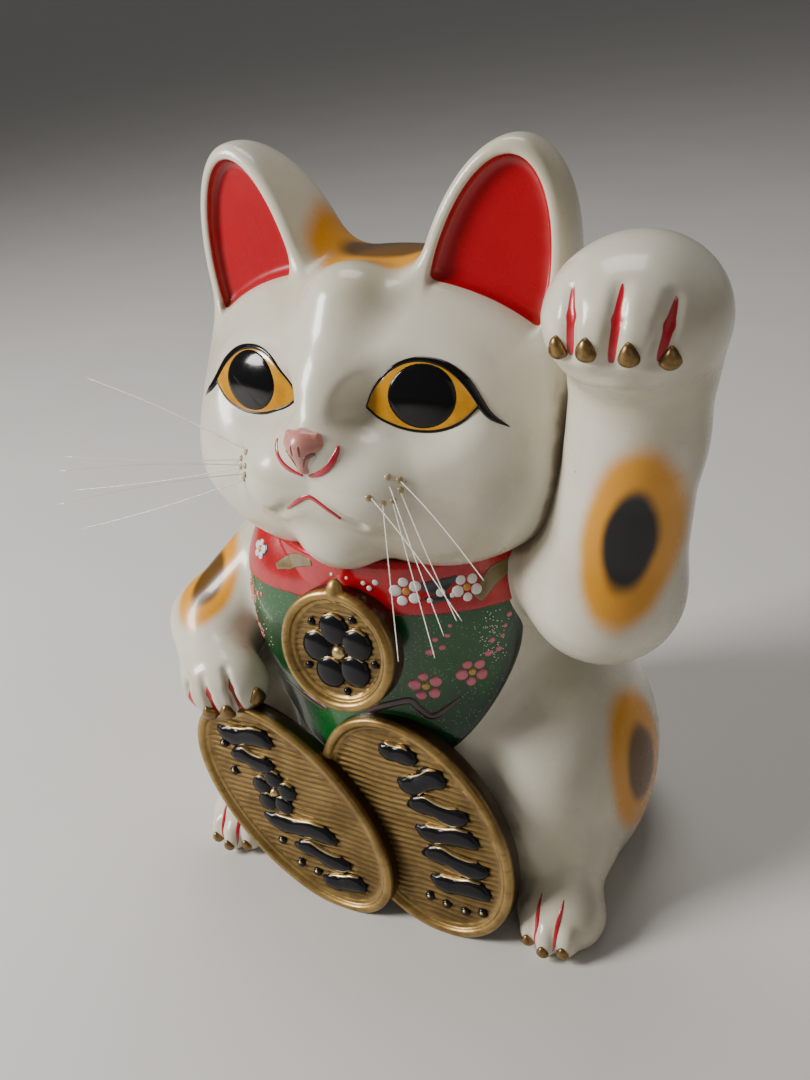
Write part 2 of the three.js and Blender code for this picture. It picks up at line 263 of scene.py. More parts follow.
def head(p):
    m = both_sides(p)
    skull = balls(m, SKULL_BALLS)
    facing = axes(EYE_YAW, EYE_TILT)
    d = carve(skull, ball(m, (56, -103, 353), (38, 27, 28), facing), 13)
    d = melt(d, chain(p, [(0, -52, 384), (0, -83, 354), (0, -104, 332)], [26, 14.5, 12], 14), 14)
    d = carve(d, ball(m, (28, -105, 348), (13, 23, 14)), 8)
    mound = np.array(EYE_AT) - 13 * facing[2]
    d = melt(d, ball(m, tuple(mound), (40, 27, 13.5), facing), 5)
    d = melt(d, ball(p, (0, -103, 325), (25, 18, 14)), 8)
    d = melt(d, ball(m, (24, -94, 304), (30, 27, 25)), 8)
    d = melt(d, ball(p, (0, -88, 270), (31, 28, 26)), 8)
    d = carve(d, limb(p, (0, -127.5, 316), (0, -125, 302), 3.0, 2.4), 3)
    mouth = [(0, -124.5, 301), (15, -122, 293.5), (27, -115, 287)]
    d = carve(d, chain(m, mouth, [2.2, 2.0, 1.6], 3), 6)
    ear = carve(ear_solid(m), -ear_front(m), 5)
    d = melt(d, ear, 20)
    return carve(d, ear_recess(m, skull), 3)


def raised_arm(p):
    d = chain(p, RAISED_ARM, RAISED_ARM_RADII, 12)
    d = melt(d, ball(p, (163, -65, 394), (42, 44, 35.5)), 12)
    d = grooved(d, p, RAISED_SLITS, [1.2, 2.0, 3.2], 7)
    under = [(124, -92, 373), (148, -107, 374.5), (171, -109, 374.5), (194, -96, 369)]
    return carve(d, chain(p, under, [4, 6, 6, 4], 3), 6)


def lowered_arm(p):
    d = chain(p, LOWERED_ARM, LOWERED_ARM_RADII, 12)
    d = melt(d, ball(p, (-102, -106, 144), (28, 23, 24)), 8)
    return grooved(d, p, LOWERED_SLITS, [0.8, 1.5, 2.6], 5)


def rooted(arm, roots, reach, k):
    """An arm with a fillet onto what it grows from, kept near the arm."""
    return np.maximum(melt(arm, roots + 0.4, k), arm - reach)


def raised_arm_casting(p):
    return rooted(raised_arm(p), torso(p), 16, 14)


def lowered_arm_casting(p):
    return rooted(lowered_arm(p), torso(p), 14, 12)


def collar(p):
    """A band that follows the neck and keeps clear of the coin slot."""
    q = local(p, COLLAR_AT, axes(0, COLLAR_TILT)[[0, 2, 1]] * np.array([[1], [-1], [1]]))
    ring = np.hypot(q[..., 0], q[..., 1]) - COLLAR_RADIUS
    skin = np.minimum(ring, torso_body(p) - 3.2)
    lift = np.clip(q[..., 1] / COLLAR_RADIUS, 0, 1) * COLLAR_LIFT
    band = common(skin, np.abs(q[..., 2] - lift) - COLLAR_HALF_HEIGHT + lift, 4)
    return np.maximum(band, -ring - 14)


def bib_outline(p):
    """Distance outside the bib's edge, seen from the front."""
    across = np.abs(p[..., 0] - BIB_CENTRE[0]) / BIB_HALF_WIDTH
    down = np.maximum(BIB_CENTRE[1] - p[..., 2], 0) / BIB_DROP
    return ((across ** 2.6 + down ** 2.6) ** (1 / 2.6) - 1) * 90


def bib(p):
    """A thin apron on the chest."""
    edge = np.maximum(bib_outline(p), p[..., 1] + 20)
    return np.maximum(common(torso_body(p) - BIB_RELIEF, edge, 2.5), -torso_body(p) - 4)


def oval(a, b, half):
    """Distance outside an ellipse, in its own plane."""
    reach = np.hypot(a / half[0], b / half[1])
    slope = np.hypot(a / half[0] ** 2, b / half[1] ** 2)
    return reach * (reach - 1) / np.maximum(slope, 1e-6)


def koban_frame(coin):
    """Rows of a koban's own frame: across, along and out of its face."""
    rows = axes(0, KOBAN_TILT)
    a = math.radians(coin["lean"])
    across = math.cos(a) * rows[0] - math.sin(a) * rows[1]
    along = math.sin(a) * rows[0] + math.cos(a) * rows[1]
    return np.array([across, along, rows[2]])


def koban(p, coin):
    """An oval coin with a rim, a bead and a hammered face, cut off at the base."""
    q = local(p, coin["at"], koban_frame(coin))
    edge = oval(q[..., 0], q[..., 1], coin["half"])
    hammer = 0.55 * np.sin(p[..., 2] * 1.55 + 0.9 * np.sin(p[..., 0] * 0.11) + coin["at"][0])
    hammer = hammer * np.clip(-(edge + 9) / 4, 0, 1)
    plate = common(edge, np.maximum(q[..., 2] + KOBAN_RECESS - hammer, -q[..., 2] - KOBAN_THICKNESS), 3)
    rim = np.hypot(edge + RIM_INSET, (q[..., 2] + 1.0) * 1.1) - RIM_RADIUS
    bead = np.hypot(edge + BEAD_INSET, q[..., 2] + KOBAN_RECESS) - 1.1
    d = melt(melt(plate, rim, 2), bead, 1.2)
    return np.maximum(d, -p[..., 2])


def koban_front(p):
    return koban(p, KOBAN_FRONT)


def koban_rear(p):
    return np.maximum(koban(p, KOBAN_REAR), -koban(p, KOBAN_FRONT) - 1.0)


def medallion(p):
    """A round coin with a rim, a bead and the loop that it hangs from."""
    q = local(p, MEDALLION_AT, axes(0, MEDALLION_TILT))
    edge = np.hypot(q[..., 0], q[..., 1]) - MEDALLION_RADIUS
    hammer = 0.3 * np.sin(q[..., 1] * 1.7 + 0.7 * np.sin(q[..., 0] * 0.16))
    hammer = hammer * np.clip(-(edge + 8) / 3, 0, 1)
    front = q[..., 2] + MEDALLION_RECESS - hammer
    plate = common(edge, np.maximum(front, -q[..., 2] - MEDALLION_THICKNESS), 3)
    rim = np.hypot(edge + RIM_INSET, q[..., 2] + 1.2) - RIM_RADIUS
    bead = np.hypot(edge + BEAD_INSET, q[..., 2] + 2.2) - 1.2
    loop = ball(q, (0, MEDALLION_RADIUS - 1, -2.0), (5.2, 7.5, 4.2))
    return melt(melt(melt(plate, rim, 1.5), bead, 1), loop, 1.5)


def nose(p):
    """A pad with a point below and a raised rim above."""
    m = both_sides(p)
    d = limb(m, (0, -115.5, 332), (8, -114, 332.5), 7.5, 4.8)
    d = melt(d, limb(p, (0, -115.5, 332), (0, -118.5, 320.5), 8, 4.2), 6)
    rim = [(0, -118, 338.5), (8.5, -115, 337.5), (11.5, -114, 332)]
    return melt(d, chain(m, rim, [1.8, 1.8, 1.2], 2), 1.2)


def everything(p):
    """The whole figurine, for the shade in its hollows."""
    fields = (torso_body, head, raised_arm, lowered_arm, koban_front, koban_rear, collar)
    return np.min([field(p) for field in fields], axis=0)


# ---- from fields to meshes ----
BLOCK = 8
CHUNK = 200000
CORNERS = np.array([(1, -1, -1), (-1, -1, 1), (-1, 1, -1), (1, 1, 1)], np.float32)


def evaluate(field, points):
    """A field's value at points, worked out in chunks to save memory."""
    points = np.asarray(points, np.float32)
    parts = [field(points[i:i + CHUNK]) for i in range(0, len(points), CHUNK)]
    return np.concatenate(parts)


def lattice(field, low, high, step):
    """Field values on a lattice, worked out only in the blocks near the surface."""
    low = np.array(low, float)
    count = np.ceil((np.array(high) - low) / (step * BLOCK)).astype(int)
    blocks = np.indices(count).reshape(3, -1).T
    middle = evaluate(field, low + step * BLOCK * (blocks + 0.5))
    values = np.where(middle < 0, -1e3, 1e3).reshape(count)
    for axis in range(3):
        values = np.repeat(values, BLOCK, axis)
    values = np.pad(values, [(0, 1)] * 3, mode="edge").astype(np.float32)
    near = blocks[np.abs(middle) < step * (BLOCK * 0.9 + 2)]
    within = np.indices([BLOCK + 1] * 3).reshape(3, -1).T
    index = (near[:, None] * BLOCK + within).reshape(-1, 3)
    values[tuple(index.T)] = evaluate(field, low + step * index)
    return values, low


def nets(values, low, step):
    """Vertices and quads of the surface where a lattice changes sign."""
    strides = np.array([values.shape[1] * values.shape[2], values.shape[2], 1])
    quads, spots = [], []
    for axis in range(3):
        one, two = (axis + 1) % 3, (axis + 2) % 3
        ahead = np.moveaxis(values, axis, 0)
        crossing = np.argwhere((ahead[:-1] < 0) != (ahead[1:] < 0))
        order = [axis] + [a for a in range(3) if a != axis]
        crossing = crossing[:, np.argsort(order)]
        crossing = crossing[(crossing[:, one] > 0) & (crossing[:, two] > 0)]
        beyond = crossing.copy()
        beyond[:, axis] += 1
        start, end = values[tuple(crossing.T)], values[tuple(beyond.T)]
        spot = crossing.astype(float)
        spot[:, axis] += start / (start - end)
        corner = crossing @ strides
        a, b = strides[one], strides[two]
        quad = np.stack([corner, corner - a, corner - a - b, corner - b], 1)
        quads.append(np.where((start < 0)[:, None], quad, quad[:, ::-1]))
        spots.append(np.repeat(spot, 4, axis=0))
    quads = np.concatenate(quads)
    spots = np.concatenate(spots)
    cells, at = np.unique(quads.ravel(), return_inverse=True)
    at = at.reshape(-1)
    total = np.stack([np.bincount(at, spots[:, k]) for k in range(3)], 1)
    total /= np.bincount(at)[:, None]
    return low + total * step, at.reshape(-1, 4)


def probe(field, points, reach=0.35):
    """A field's value and slope at points."""
    value, slope = 0, 0
    for corner in CORNERS:
        v = evaluate(field, points + corner * reach)
        value = value + v / 4
        slope = slope + v[:, None] * corner / (4 * reach)
    return value, slope


def settle(field, points, rounds=3):
    """Moves points onto a field's surface, and gives its outward direction there."""
    points = np.array(points, float)
    for _ in range(rounds):
        value, slope = probe(field, points)
        move = value / np.maximum((slope ** 2).sum(1), 0.3)
        points -= np.clip(move, -3, 3)[:, None] * slope
    slope = probe(field, points)[1]
    length = np.linalg.norm(slope, axis=1, keepdims=True)
    return points, slope / np.maximum(length, 1e-6)


def sculpt(field, low, high, step, rounds=2):
    """Vertices, quads and outward directions of a field's surface within a box."""
    values, low = lattice(field, low, high, step)
    points, faces = nets(values, low, step)
    points, normals = settle(field, points, rounds)
    return points, faces, normals


def hollows(points, normals):
    """0 in the open, up to 1 deep in a crease of the figurine; the glaze paints shade by it."""
    shade = 0
    for reach in (4, 11):
        ahead = evaluate(everything, points + normals * reach)
        shade = shade + np.clip((reach - ahead) / reach, 0, 1) / 2
    return shade


def piece(name, points, faces, material, body="cat", slot=None, replaces=(), **marks):
    """A mesh object from millimetres, with a number per vertex for each mark."""
    mesh = bpy.data.meshes.new(name)
    mesh.from_pydata((np.asarray(points) * MM).tolist(), [], [list(map(int, f)) for f in faces])
    for mark, numbers in marks.items():
        layer = mesh.attributes.new(mark, "FLOAT", "POINT")
        layer.data.foreach_set("value", np.asarray(numbers, np.float32))
    mesh.shade_smooth()
    mesh.materials.append(material)
    thing = bpy.data.objects.new(name, mesh)
    bpy.context.scene.collection.objects.link(thing)
    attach(thing, body)
    if replaces:
        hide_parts(*replaces)
    return thing


def walls(rings, steps):
    """Quads round a stack of rings, closed at the first ring."""
    faces = [list(range(steps - 1, -1, -1))]
    for i in range(rings - 1):
        for j in range(steps):
            a, b = i * steps + j, i * steps + (j + 1) % steps
            faces.append([a, b, b + steps, a + steps])
    return faces


def tube(rings, steps):
    """Quads round a stack of rings, closed at both ends."""
    return walls(rings, steps) + [[(rings - 1) * steps + j for j in range(steps)]]


# ---- painted reliefs laid on a surface ----
class Relief:
    """Gathers raised strokes and dots that follow one surface."""

    def __init__(self, field):
        self.field = field
        self.points = []
        self.faces = []
        self.count = 0

    def add(self, points, faces):
        self.points.append(points)
        self.faces += [[i + self.count for i in face] for face in faces]
        self.count += len(points)

    def lifted(self, points, height):
        """Points moved onto the surface, then out of it by height."""
        points, normals = settle(self.field, points, 4)
        return points + normals * np.asarray(height)[:, None]

    def stroke(self, path, width, height=0.7, spacing=1.2):
        """A raised line along a path; width holds half widths along it."""
        path = smooth_path(path, spacing)
        path, normal = settle(self.field, path, 4)
        along = np.gradient(path, axis=0)
        side = np.cross(along, normal)
        side /= np.maximum(np.linalg.norm(side, axis=1, keepdims=True), 1e-6)
        spread = np.linspace(0, 1, len(path))
        half = np.interp(spread, np.linspace(0, 1, len(width)), width)
        turn = np.linspace(0, math.pi, 7)
        across = np.concatenate([np.cos(turn), [-0.6, 0.6]])
        rise = np.concatenate([np.sin(turn), [-0.6, -0.6]])
        rings = path[:, None] + side[:, None] * across[None, :, None] * half[:, None, None]
        tall = height * np.minimum(1, half / max(width) * 1.6)
        lift = (tall[:, None] * rise[None]).ravel()
        points = self.lifted(rings.reshape(-1, 3), lift)
        self.add(points, tube(len(path), len(across)))

    def dot(self, at, radius, height=0.8, nail=False, steps=20):
        """A low dome; a nail is arched above and flat below."""
        at, normal = settle(self.field, [at], 4)
        at, normal = at[0], normal[0]
        right = np.cross([0, 0, 1], normal)
        right /= max(np.linalg.norm(right), 1e-6)
        up = np.cross(normal, right)
        angle = np.linspace(0, 2 * math.pi, steps, endpoint=False)
        across, high = np.cos(angle) * radius, np.sin(angle) * radius
        if nail:
            across = across * (1 - 0.35 * np.clip(np.sin(angle), 0, 1))
            high = np.where(high > 0, high * 1.5, high * 0.7)
        out = np.outer(across, right) + np.outer(high, up)
        levels = [(1.0, -0.4), (1.0, 0.0), (0.9, 0.55), (0.62, 0.85), (0.3, 0.97)]
        points = np.concatenate([at + out * grow for grow, _ in levels] + [[at]])
        lift = np.concatenate([np.full(steps, height * rise) for _, rise in levels] + [[height]])
        top = (len(levels) - 1) * steps
        cap = [[top + j, top + (j + 1) % steps, top + steps] for j in range(steps)]
        self.add(self.lifted(points, lift), walls(len(levels), steps) + cap)

    def build(self, name, material, slot, **extras):
        return piece(name, np.concatenate(self.points), self.faces, material, slot=slot, **extras)


def smooth_path(path, spacing):
    """Evenly spaced points on a Catmull-Rom curve through a path."""
    path = np.array(path, float)
    ends = np.vstack([2 * path[0] - path[1], path, 2 * path[-1] - path[-2]])
    t = np.linspace(0, 1, 12, endpoint=False)[:, None]
    curve = []
    for a, b, c, d in zip(ends, ends[1:], ends[2:], ends[3:]):
        square = 2 * a - 5 * b + 4 * c - d
        cube = 3 * b - a - 3 * c + d
        curve.append(0.5 * (2 * b + (c - a) * t + square * t ** 2 + cube * t ** 3))
    curve = np.vstack(curve + [path[-1:]])
    reach = np.concatenate([[0], np.cumsum(np.linalg.norm(np.diff(curve, axis=0), axis=1))])
    steps = max(int(reach[-1] / spacing), 4)
    even = np.linspace(0, reach[-1], steps)
    return np.stack([np.interp(even, reach, curve[:, k]) for k in range(3)], 1)


def on_plane(at, rows, points):
    """Points given across and up a plane, as points in space."""
    return [np.array(at) + a * rows[0] + b * rows[1] for a, b in points]


# ---- materials ----
class Shader:
    """A Principled material with short names for the nodes that these finishes use."""

    def __init__(self, name, **settings):
        self.material = bpy.data.materials.new(name)
        self.material.use_nodes = True
        self.nodes = self.material.node_tree.nodes
        self.links = self.material.node_tree.links
        self.main = self.nodes["Principled BSDF"]
        for socket, value in settings.items():
            self.main.inputs[socket.replace("_", " ")].default_value = value

    def put(self, value, socket):
        if isinstance(value, bpy.types.NodeSocket):
            self.links.new(value, socket)
        elif value is not None:
            socket.default_value = value

    def where(self):
        return self.nodes.new("ShaderNodeTexCoord").outputs["Object"]

    def mark(self, name):
        node = self.nodes.new("ShaderNodeAttribute")
        node.attribute_name = name
        return node.outputs["Fac"]

    def maths(self, operation, a, b=None):
        node = self.nodes.new("ShaderNodeMath")
        node.operation = operation
        for value, socket in zip((a, b), node.inputs):
            self.put(value, socket)
        return node.outputs[0]

    def plus(self, a, b):
        return self.maths("ADD", a, b)

    def times(self, a, b):
        return self.maths("MULTIPLY", a, b)

    def vector(self, operation, a, b=None):
        node = self.nodes.new("ShaderNodeVectorMath")
        node.operation = operation
        self.put(a, node.inputs[0])
        self.put(b, node.inputs[1])
        return node.outputs["Value" if operation == "LENGTH" else "Vector"]

    def noise(self, per_mm, detail=3.0, rough=0.55, stretch=None):
        node = self.nodes.new("ShaderNodeTexNoise")
        node.inputs["Scale"].default_value = per_mm / MM
        node.inputs["Detail"].default_value = detail
        node.inputs["Roughness"].default_value = rough
        place = self.where()
        self.put(self.vector("MULTIPLY", place, stretch) if stretch else place, node.inputs["Vector"])
        return node.outputs["Fac"]

    def cells(self, per_mm):
        node = self.nodes.new("ShaderNodeTexVoronoi")
        node.inputs["Scale"].default_value = per_mm / MM
        self.put(self.where(), node.inputs["Vector"])
        return node.outputs["Distance"], node.outputs["Color"]

    def fade(self, value, low, high):
        """0 below low, 1 above high, smooth between; low may be the larger."""
        node = self.nodes.new("ShaderNodeMapRange")
        node.interpolation_type = "SMOOTHSTEP"
        node.inputs["From Min"].default_value = low
        node.inputs["From Max"].default_value = high
        self.put(value, node.inputs["Value"])
        return node.outputs["Result"]

    def blend(self, amount, under, over):
        node = self.nodes.new("ShaderNodeMix")
        node.data_type = "RGBA"
        self.put(amount, node.inputs[0])
        self.put(under, node.inputs[6])
        self.put(over, node.inputs[7])
        return node.outputs[2]

    def bump(self, height, strength, distance):
        node = self.nodes.new("ShaderNodeBump")
        node.inputs["Strength"].default_value = strength
        node.inputs["Distance"].default_value = distance * MM
        self.put(height, node.inputs["Height"])
        self.links.new(node.outputs["Normal"], self.main.inputs["Normal"])

    def set(self, socket, value):
        self.put(value, self.main.inputs[socket])

    def rough(self, base, tone, spread):
        """Roughness that grows by spread as tone goes from 0 to 1."""
        self.set("Roughness", self.plus(base, self.times(tone, spread)))


def rgb(red, green, blue):
    return (red, green, blue, 1.0)


IVORY = rgb(0.70, 0.66, 0.54)
IVORY_WARM = rgb(0.60, 0.54, 0.40)
# Brown for the painted shade in creases and hollows, and for the specks in the glaze
CREASE_SHADE_AND_SPECK_BROWN = rgb(0.16, 0.105, 0.05)
SPOT_BLACK = rgb(0.003, 0.003, 0.003)
SPOT_ORANGE = rgb(0.72, 0.30, 0.001)
EAR_RED = rgb(0.36, 0.001, 0.008)
EAR_RED_LIGHT = rgb(0.45, 0.002, 0.010)
SLIT_RED = rgb(0.46, 0.004, 0.016)

# Airbrushed spots: centre, half sizes along turned axes (x, y, z), turn about Y and Z, how dark the core is
SPOTS_ARM = [((164, -82, 279), (26, 60, 55), -8, 0, 1.0)]
SPOTS_LOWERED = [((-131, -68, 196), (22, 60, 28), -20, 0, 0.85)]
SPOTS_TORSO = [((150, -24, 84), (60, 36, 50), 0, 18, 0.8), ((-150, -10, 84), (60, 36, 46), 0, -18, 0.8)]
SPOTS_HEAD = [((-2, 2, 403), (56, 44, 44), 0, 0, 0.8)]


def add_spots(shader, colour, spots):
    """Soft orange ovals with a black core, as sprayed with an airbrush."""
    wander = shader.noise(0.035, 2.0)
    for centre, half, lean, turn, depth in spots:
        place = shader.vector("SUBTRACT", shader.where(), tuple(v * MM for v in centre))
        node = shader.nodes.new("ShaderNodeVectorRotate")
        node.rotation_type = "EULER_XYZ"
        node.inputs["Rotation"].default_value = (0, math.radians(lean), math.radians(turn))
        shader.put(place, node.inputs["Vector"])
        scaled = shader.vector("MULTIPLY", node.outputs[0], tuple(1 / (v * MM) for v in half))
        reach = shader.vector("LENGTH", scaled)
        ragged = shader.times(shader.maths("SUBTRACT", wander, 0.5), 0.14)
        reach = shader.plus(reach, ragged)
        haze = shader.times(shader.fade(reach, 1.12, 0.80), 0.97)
        core = shader.times(shader.fade(reach, 0.62, 0.42), depth)
        colour = shader.blend(haze, colour, SPOT_ORANGE)
        colour = shader.blend(core, colour, SPOT_BLACK)
    return colour


def glaze(name, spots=(), ears=False, slits=False):
    """Ivory glaze with sprayed spots, painted brown shade in its hollows and a few specks."""
    shader = Shader(name, Coat_Weight=0.35, Coat_Roughness=0.09, Specular_IOR_Level=0.4)
    colour = shader.blend(shader.fade(shader.noise(0.012, 4.0), 0.42, 0.72), IVORY, IVORY_WARM)
    colour = add_spots(shader, colour, spots)
    if ears:
        inside = shader.fade(shader.mark("lining"), 0.25, -0.25)
        red = shader.blend(shader.noise(0.03, 3.0), EAR_RED, EAR_RED_LIGHT)
        colour = shader.blend(inside, colour, red)
    if slits:
        colour = shader.blend(shader.fade(shader.mark("slit"), 0.25, -0.25), colour, SLIT_RED)
    # Painted shade: brown darkening in creases and hollows, in patches, by how enclosed each point is
    crease_shade = shader.times(shader.mark("crevice"), shader.plus(shader.noise(0.08, 5.0), 0.35))
    colour = shader.blend(shader.times(shader.fade(crease_shade, 0.30, 0.85), 0.75), colour, CREASE_SHADE_AND_SPECK_BROWN)
    distance, tint = shader.cells(0.045)
    rare = shader.fade(shader.maths("FRACT", shader.times(tint, 7.3)), 0.80, 0.82)
    speck = shader.times(shader.fade(distance, 0.035, 0.018), rare)
    colour = shader.blend(shader.times(speck, 0.8), colour, CREASE_SHADE_AND_SPECK_BROWN)
    shader.set("Base Color", colour)
    crease_rough = shader.plus(0.24, shader.times(shader.fade(crease_shade, 0.2, 0.8), 0.3))
    shader.rough(crease_rough, shader.noise(0.05, 4.0), 0.08)
    shader.bump(shader.noise(0.05, 2.0), 0.12, 0.6)
    return shader.material


def enamel(name, colour, deep, rough=0.16, bump=0.15, coat=0.8, shine=0.5):
    """Thick gloss paint with slight streaks."""
    shader = Shader(name, Coat_Weight=coat, Coat_Roughness=0.06, Specular_IOR_Level=shine)
    streaks = shader.fade(shader.noise(0.12, 4.0), 0.35, 0.75)
    shader.set("Base Color", shader.blend(streaks, rgb(*colour), rgb(*deep)))
    shader.rough(rough, shader.noise(0.3), 0.12)
    shader.bump(shader.noise(0.25, 3.0), bump, 0.25)
    return shader.material


def glitter_green():
    """Dark green paint with fine bright flakes."""
    shader = Shader("green_enamel", Coat_Weight=0.4, Coat_Roughness=0.07)
    cloud = shader.fade(shader.noise(0.02, 4.0), 0.35, 0.7)
    colour = shader.blend(cloud, rgb(0.001, 0.085, 0.010), rgb(0.001, 0.040, 0.010))
    edge = shader.fade(shader.mark("edge"), -7.0, -1.0)
    colour = shader.blend(edge, colour, rgb(0.002, 0.020, 0.010))
    distance, tint = shader.cells(0.9)
    chosen = shader.fade(shader.maths("FRACT", shader.times(tint, 5.7)), 0.72, 0.78)
    flake = shader.times(shader.fade(distance, 0.30, 0.2), chosen)
    colour = shader.blend(shader.times(flake, 0.65), colour, rgb(0.25, 0.55, 0.30))
    shader.set("Base Color", colour)
    shader.set("Metallic", shader.times(flake, 0.8))
    shader.rough(0.3, flake, -0.12)
    shader.bump(shader.plus(shader.noise(0.4, 3.0), flake), 0.2, 0.2)
    return shader.material


def antique_gold():
    """Rubbed gold, darker in patches and towards the bottom of the relief."""
    shader = Shader("antique_gold", Coat_Weight=0.35, Coat_Roughness=0.15)
    patches = shader.fade(shader.noise(0.05, 5.0), 0.35, 0.7)
    colour = shader.blend(patches, rgb(0.42, 0.27, 0.085), rgb(0.24, 0.145, 0.04))
    rub = shader.noise(0.5, 4.0, stretch=(0.25, 0.25, 1.0))
    colour = shader.blend(shader.times(shader.fade(rub, 0.5, 0.75), 0.5), colour, rgb(0.09, 0.05, 0.016))
    colour = shader.blend(shader.fade(shader.mark("low"), 0.25, 0.95), colour, rgb(0.05, 0.028, 0.01))
    shader.set("Base Color", colour)
    shader.set("Metallic", 0.85)
    shader.rough(0.28, rub, 0.25)
    shader.bump(rub, 0.3, 0.4)
    return shader.material


def plain_gold(name, colour, rough):
    shader = Shader(name, Metallic=0.9)
    tone = shader.noise(0.3, 4.0)
    dull = rgb(*[c * 0.55 for c in colour])
    shader.set("Base Color", shader.blend(shader.fade(tone, 0.3, 0.75), rgb(*colour), dull))
    shader.rough(rough, tone, 0.2)
    shader.bump(tone, 0.25, 0.3)
    return shader.material


def nylon():
    shader = Shader("nylon", Transmission_Weight=0.25, IOR=1.5)
    tone = shader.noise(0.2)
    shader.set("Base Color", shader.blend(tone, rgb(0.75, 0.70, 0.60), rgb(0.85, 0.82, 0.74)))
    shader.rough(0.22, tone, 0.15)
    return shader.material


def rubber():
    shader = Shader("rubber")
    grain = shader.noise(0.8, 4.0)
    shader.set("Base Color", shader.blend(grain, rgb(0.018, 0.017, 0.016), rgb(0.035, 0.033, 0.03)))
    shader.rough(0.55, grain, 0.25)
    shader.bump(grain, 0.3, 0.2)
    return shader.material


def floor_paint():
    shader = Shader("pale_floor")
    tone = shader.noise(0.004, 3.0)
    shader.set("Base Color", shader.blend(tone, rgb(0.62, 0.60, 0.57), rgb(0.68, 0.66, 0.63)))
    shader.rough(0.6, tone, 0.1)
    return shader.material


# ---- castings ----
HEAD_STEP = 1.4
TORSO_STEP = 2.1
ARM_STEP = 1.5
RELIEF_STEP = 1.0


def casting(name, field, low, high, step, material, slot, replaces, rounds=2, marks=None):
    points, faces, normals = sculpt(field, low, high, step, rounds)
    extra = marks(points) if marks else {}
    return piece(name, points, faces, material, slot=slot, replaces=replaces,
                 crevice=hollows(points, normals), **extra)


def ear_lining_mark(points):
    m = both_sides(points.astype(np.float32))
    inside = np.maximum(ear_recess(m, balls(m, SKULL_BALLS)) - 0.9, ear_front(m) + 1.3)
    return {"lining": np.clip(inside, -3, 3)}


def bib_mark(points):
    return {"edge": np.clip(bib_outline(points), -20, 5)}


def slit_mark(slits):
    """Distance from the painted slits, which lie in the bottom of their grooves."""
    def mark(points):
        inward = [[(x, y + 3.0, z) for x, y, z in slit] for slit in slits]
        near = np.min([chain(points, slit, [0.9, 2.3, 1.8], 2) for slit in inward], axis=0)
        return {"slit": np.clip(near, -3, 3)}
    return mark


def low_mark(at, rows, depth):
    """How deep each point of a gold relief lies behind its rim."""
    def mark(points):
        out = local(points, at, rows)[:, 2]
        return {"low": np.clip(-out / depth, 0, 1)}
    return mark


def castings():
    casting("torso_casting", torso_casting, (-165, -130, -4), (165, 125, 292), TORSO_STEP,
            glaze("glaze_torso", SPOTS_TORSO), "pearl_glaze", ["torso_shell", "tail"])
    casting("head_casting", head, (-140, -135, 236), (140, 100, 482), HEAD_STEP,
            glaze("glaze_head", SPOTS_HEAD, ears=True), "pearl_glaze", ["head_shell"], marks=ear_lining_mark)
    casting("raised_arm_casting", raised_arm_casting, (60, -130, 170), (215, 45, 440), ARM_STEP,
            glaze("glaze_raised_arm", SPOTS_ARM, slits=True), "pearl_glaze", ["raised_arm_shell"],
            marks=slit_mark(RAISED_SLITS))
    casting("lowered_arm_casting", lowered_arm_casting, (-185, -145, 105), (-45, 30, 258), ARM_STEP,
            glaze("glaze_lowered_arm", SPOTS_LOWERED, slits=True), "pearl_glaze", ["lowered_arm_shell"],
            marks=slit_mark(LOWERED_SLITS))


def painted_reliefs():
    red = enamel("red_collar", (0.46, 0.002, 0.008), (0.34, 0.001, 0.006), 0.2, coat=0.4)
    casting("collar_band", collar, (-106, -116, 205), (106, 98, 275), 1.6, red, "red_enamel", ["collar"])
    casting("bib_panel", bib, (-114, -128, 98), (96, -15, 250), 1.5,
            glitter_green(), "green_enamel", ["bib"], marks=bib_mark)


def coins():
    gold = antique_gold()
    kobans = (("koban_front", koban_front, KOBAN_FRONT), ("koban_rear", koban_rear, KOBAN_REAR))
    for name, field, coin in kobans:
        at = np.array(coin["at"])
        low = at - (92, 30, at[2] + 3)
        casting(name + "_plate", field, low, at + (92, 32, 92), RELIEF_STEP, gold, "antique_gold", [name],
                rounds=1, marks=low_mark(coin["at"], koban_frame(coin), 4.0))
    at = np.array(MEDALLION_AT)
    casting("medallion_disc", medallion, at - (44, 18, 46), at + (44, 26, 50), 0.9, gold, "antique_gold",
            ["medallion"], rounds=1, marks=low_mark(MEDALLION_AT, axes(0, MEDALLION_TILT), 4.0))


# ---- motifs of the coins: generic waves, bars and blossoms ----
def wave(centre, length, rise, turn=0.0):
    """A wavy bar on a plane, as points across and up."""
    steps = np.linspace(-0.5, 0.5, 7)
    bend = rise * np.sin(steps * 2 * math.pi)
    cos, sin = math.cos(math.radians(turn)), math.sin(math.radians(turn))
    return [(centre[0] + x * cos - y * sin, centre[1] + x * sin + y * cos)
            for x, y in zip(steps * length, bend)]


def lifted_face(at, rows, depth):
    """A flat field at some depth below a face, for reliefs to lie on."""
    return lambda p: local(p, at, rows)[..., 2] + depth


def mark_bars(black, gold, at, rows, bars):
    """Black raised bars, each with a gold stroke along its upper edge as a painted highlight from above."""
    for centre, length, rise, turn, half in bars:
        path = wave(centre, length, rise, turn)
        taper = np.array([0.25, 0.8, 1.0, 0.85, 1.0, 1.05, 0.9, 0.4])
        black.stroke(on_plane(at, rows, path), (half * 1.25 * taper).tolist(), 3.4)
        # Painted highlight: a gold stroke just above the upper edge of each bar
        upper = [(x, y + half * 1.12 * k) for (x, y), k in zip(path[1:-1], (0.85, 1.0, 0.9, 1.0, 1.0))]
        gold.stroke(on_plane(at, rows, upper), [0.4, 1.1, 1.1, 0.4], 2.6)


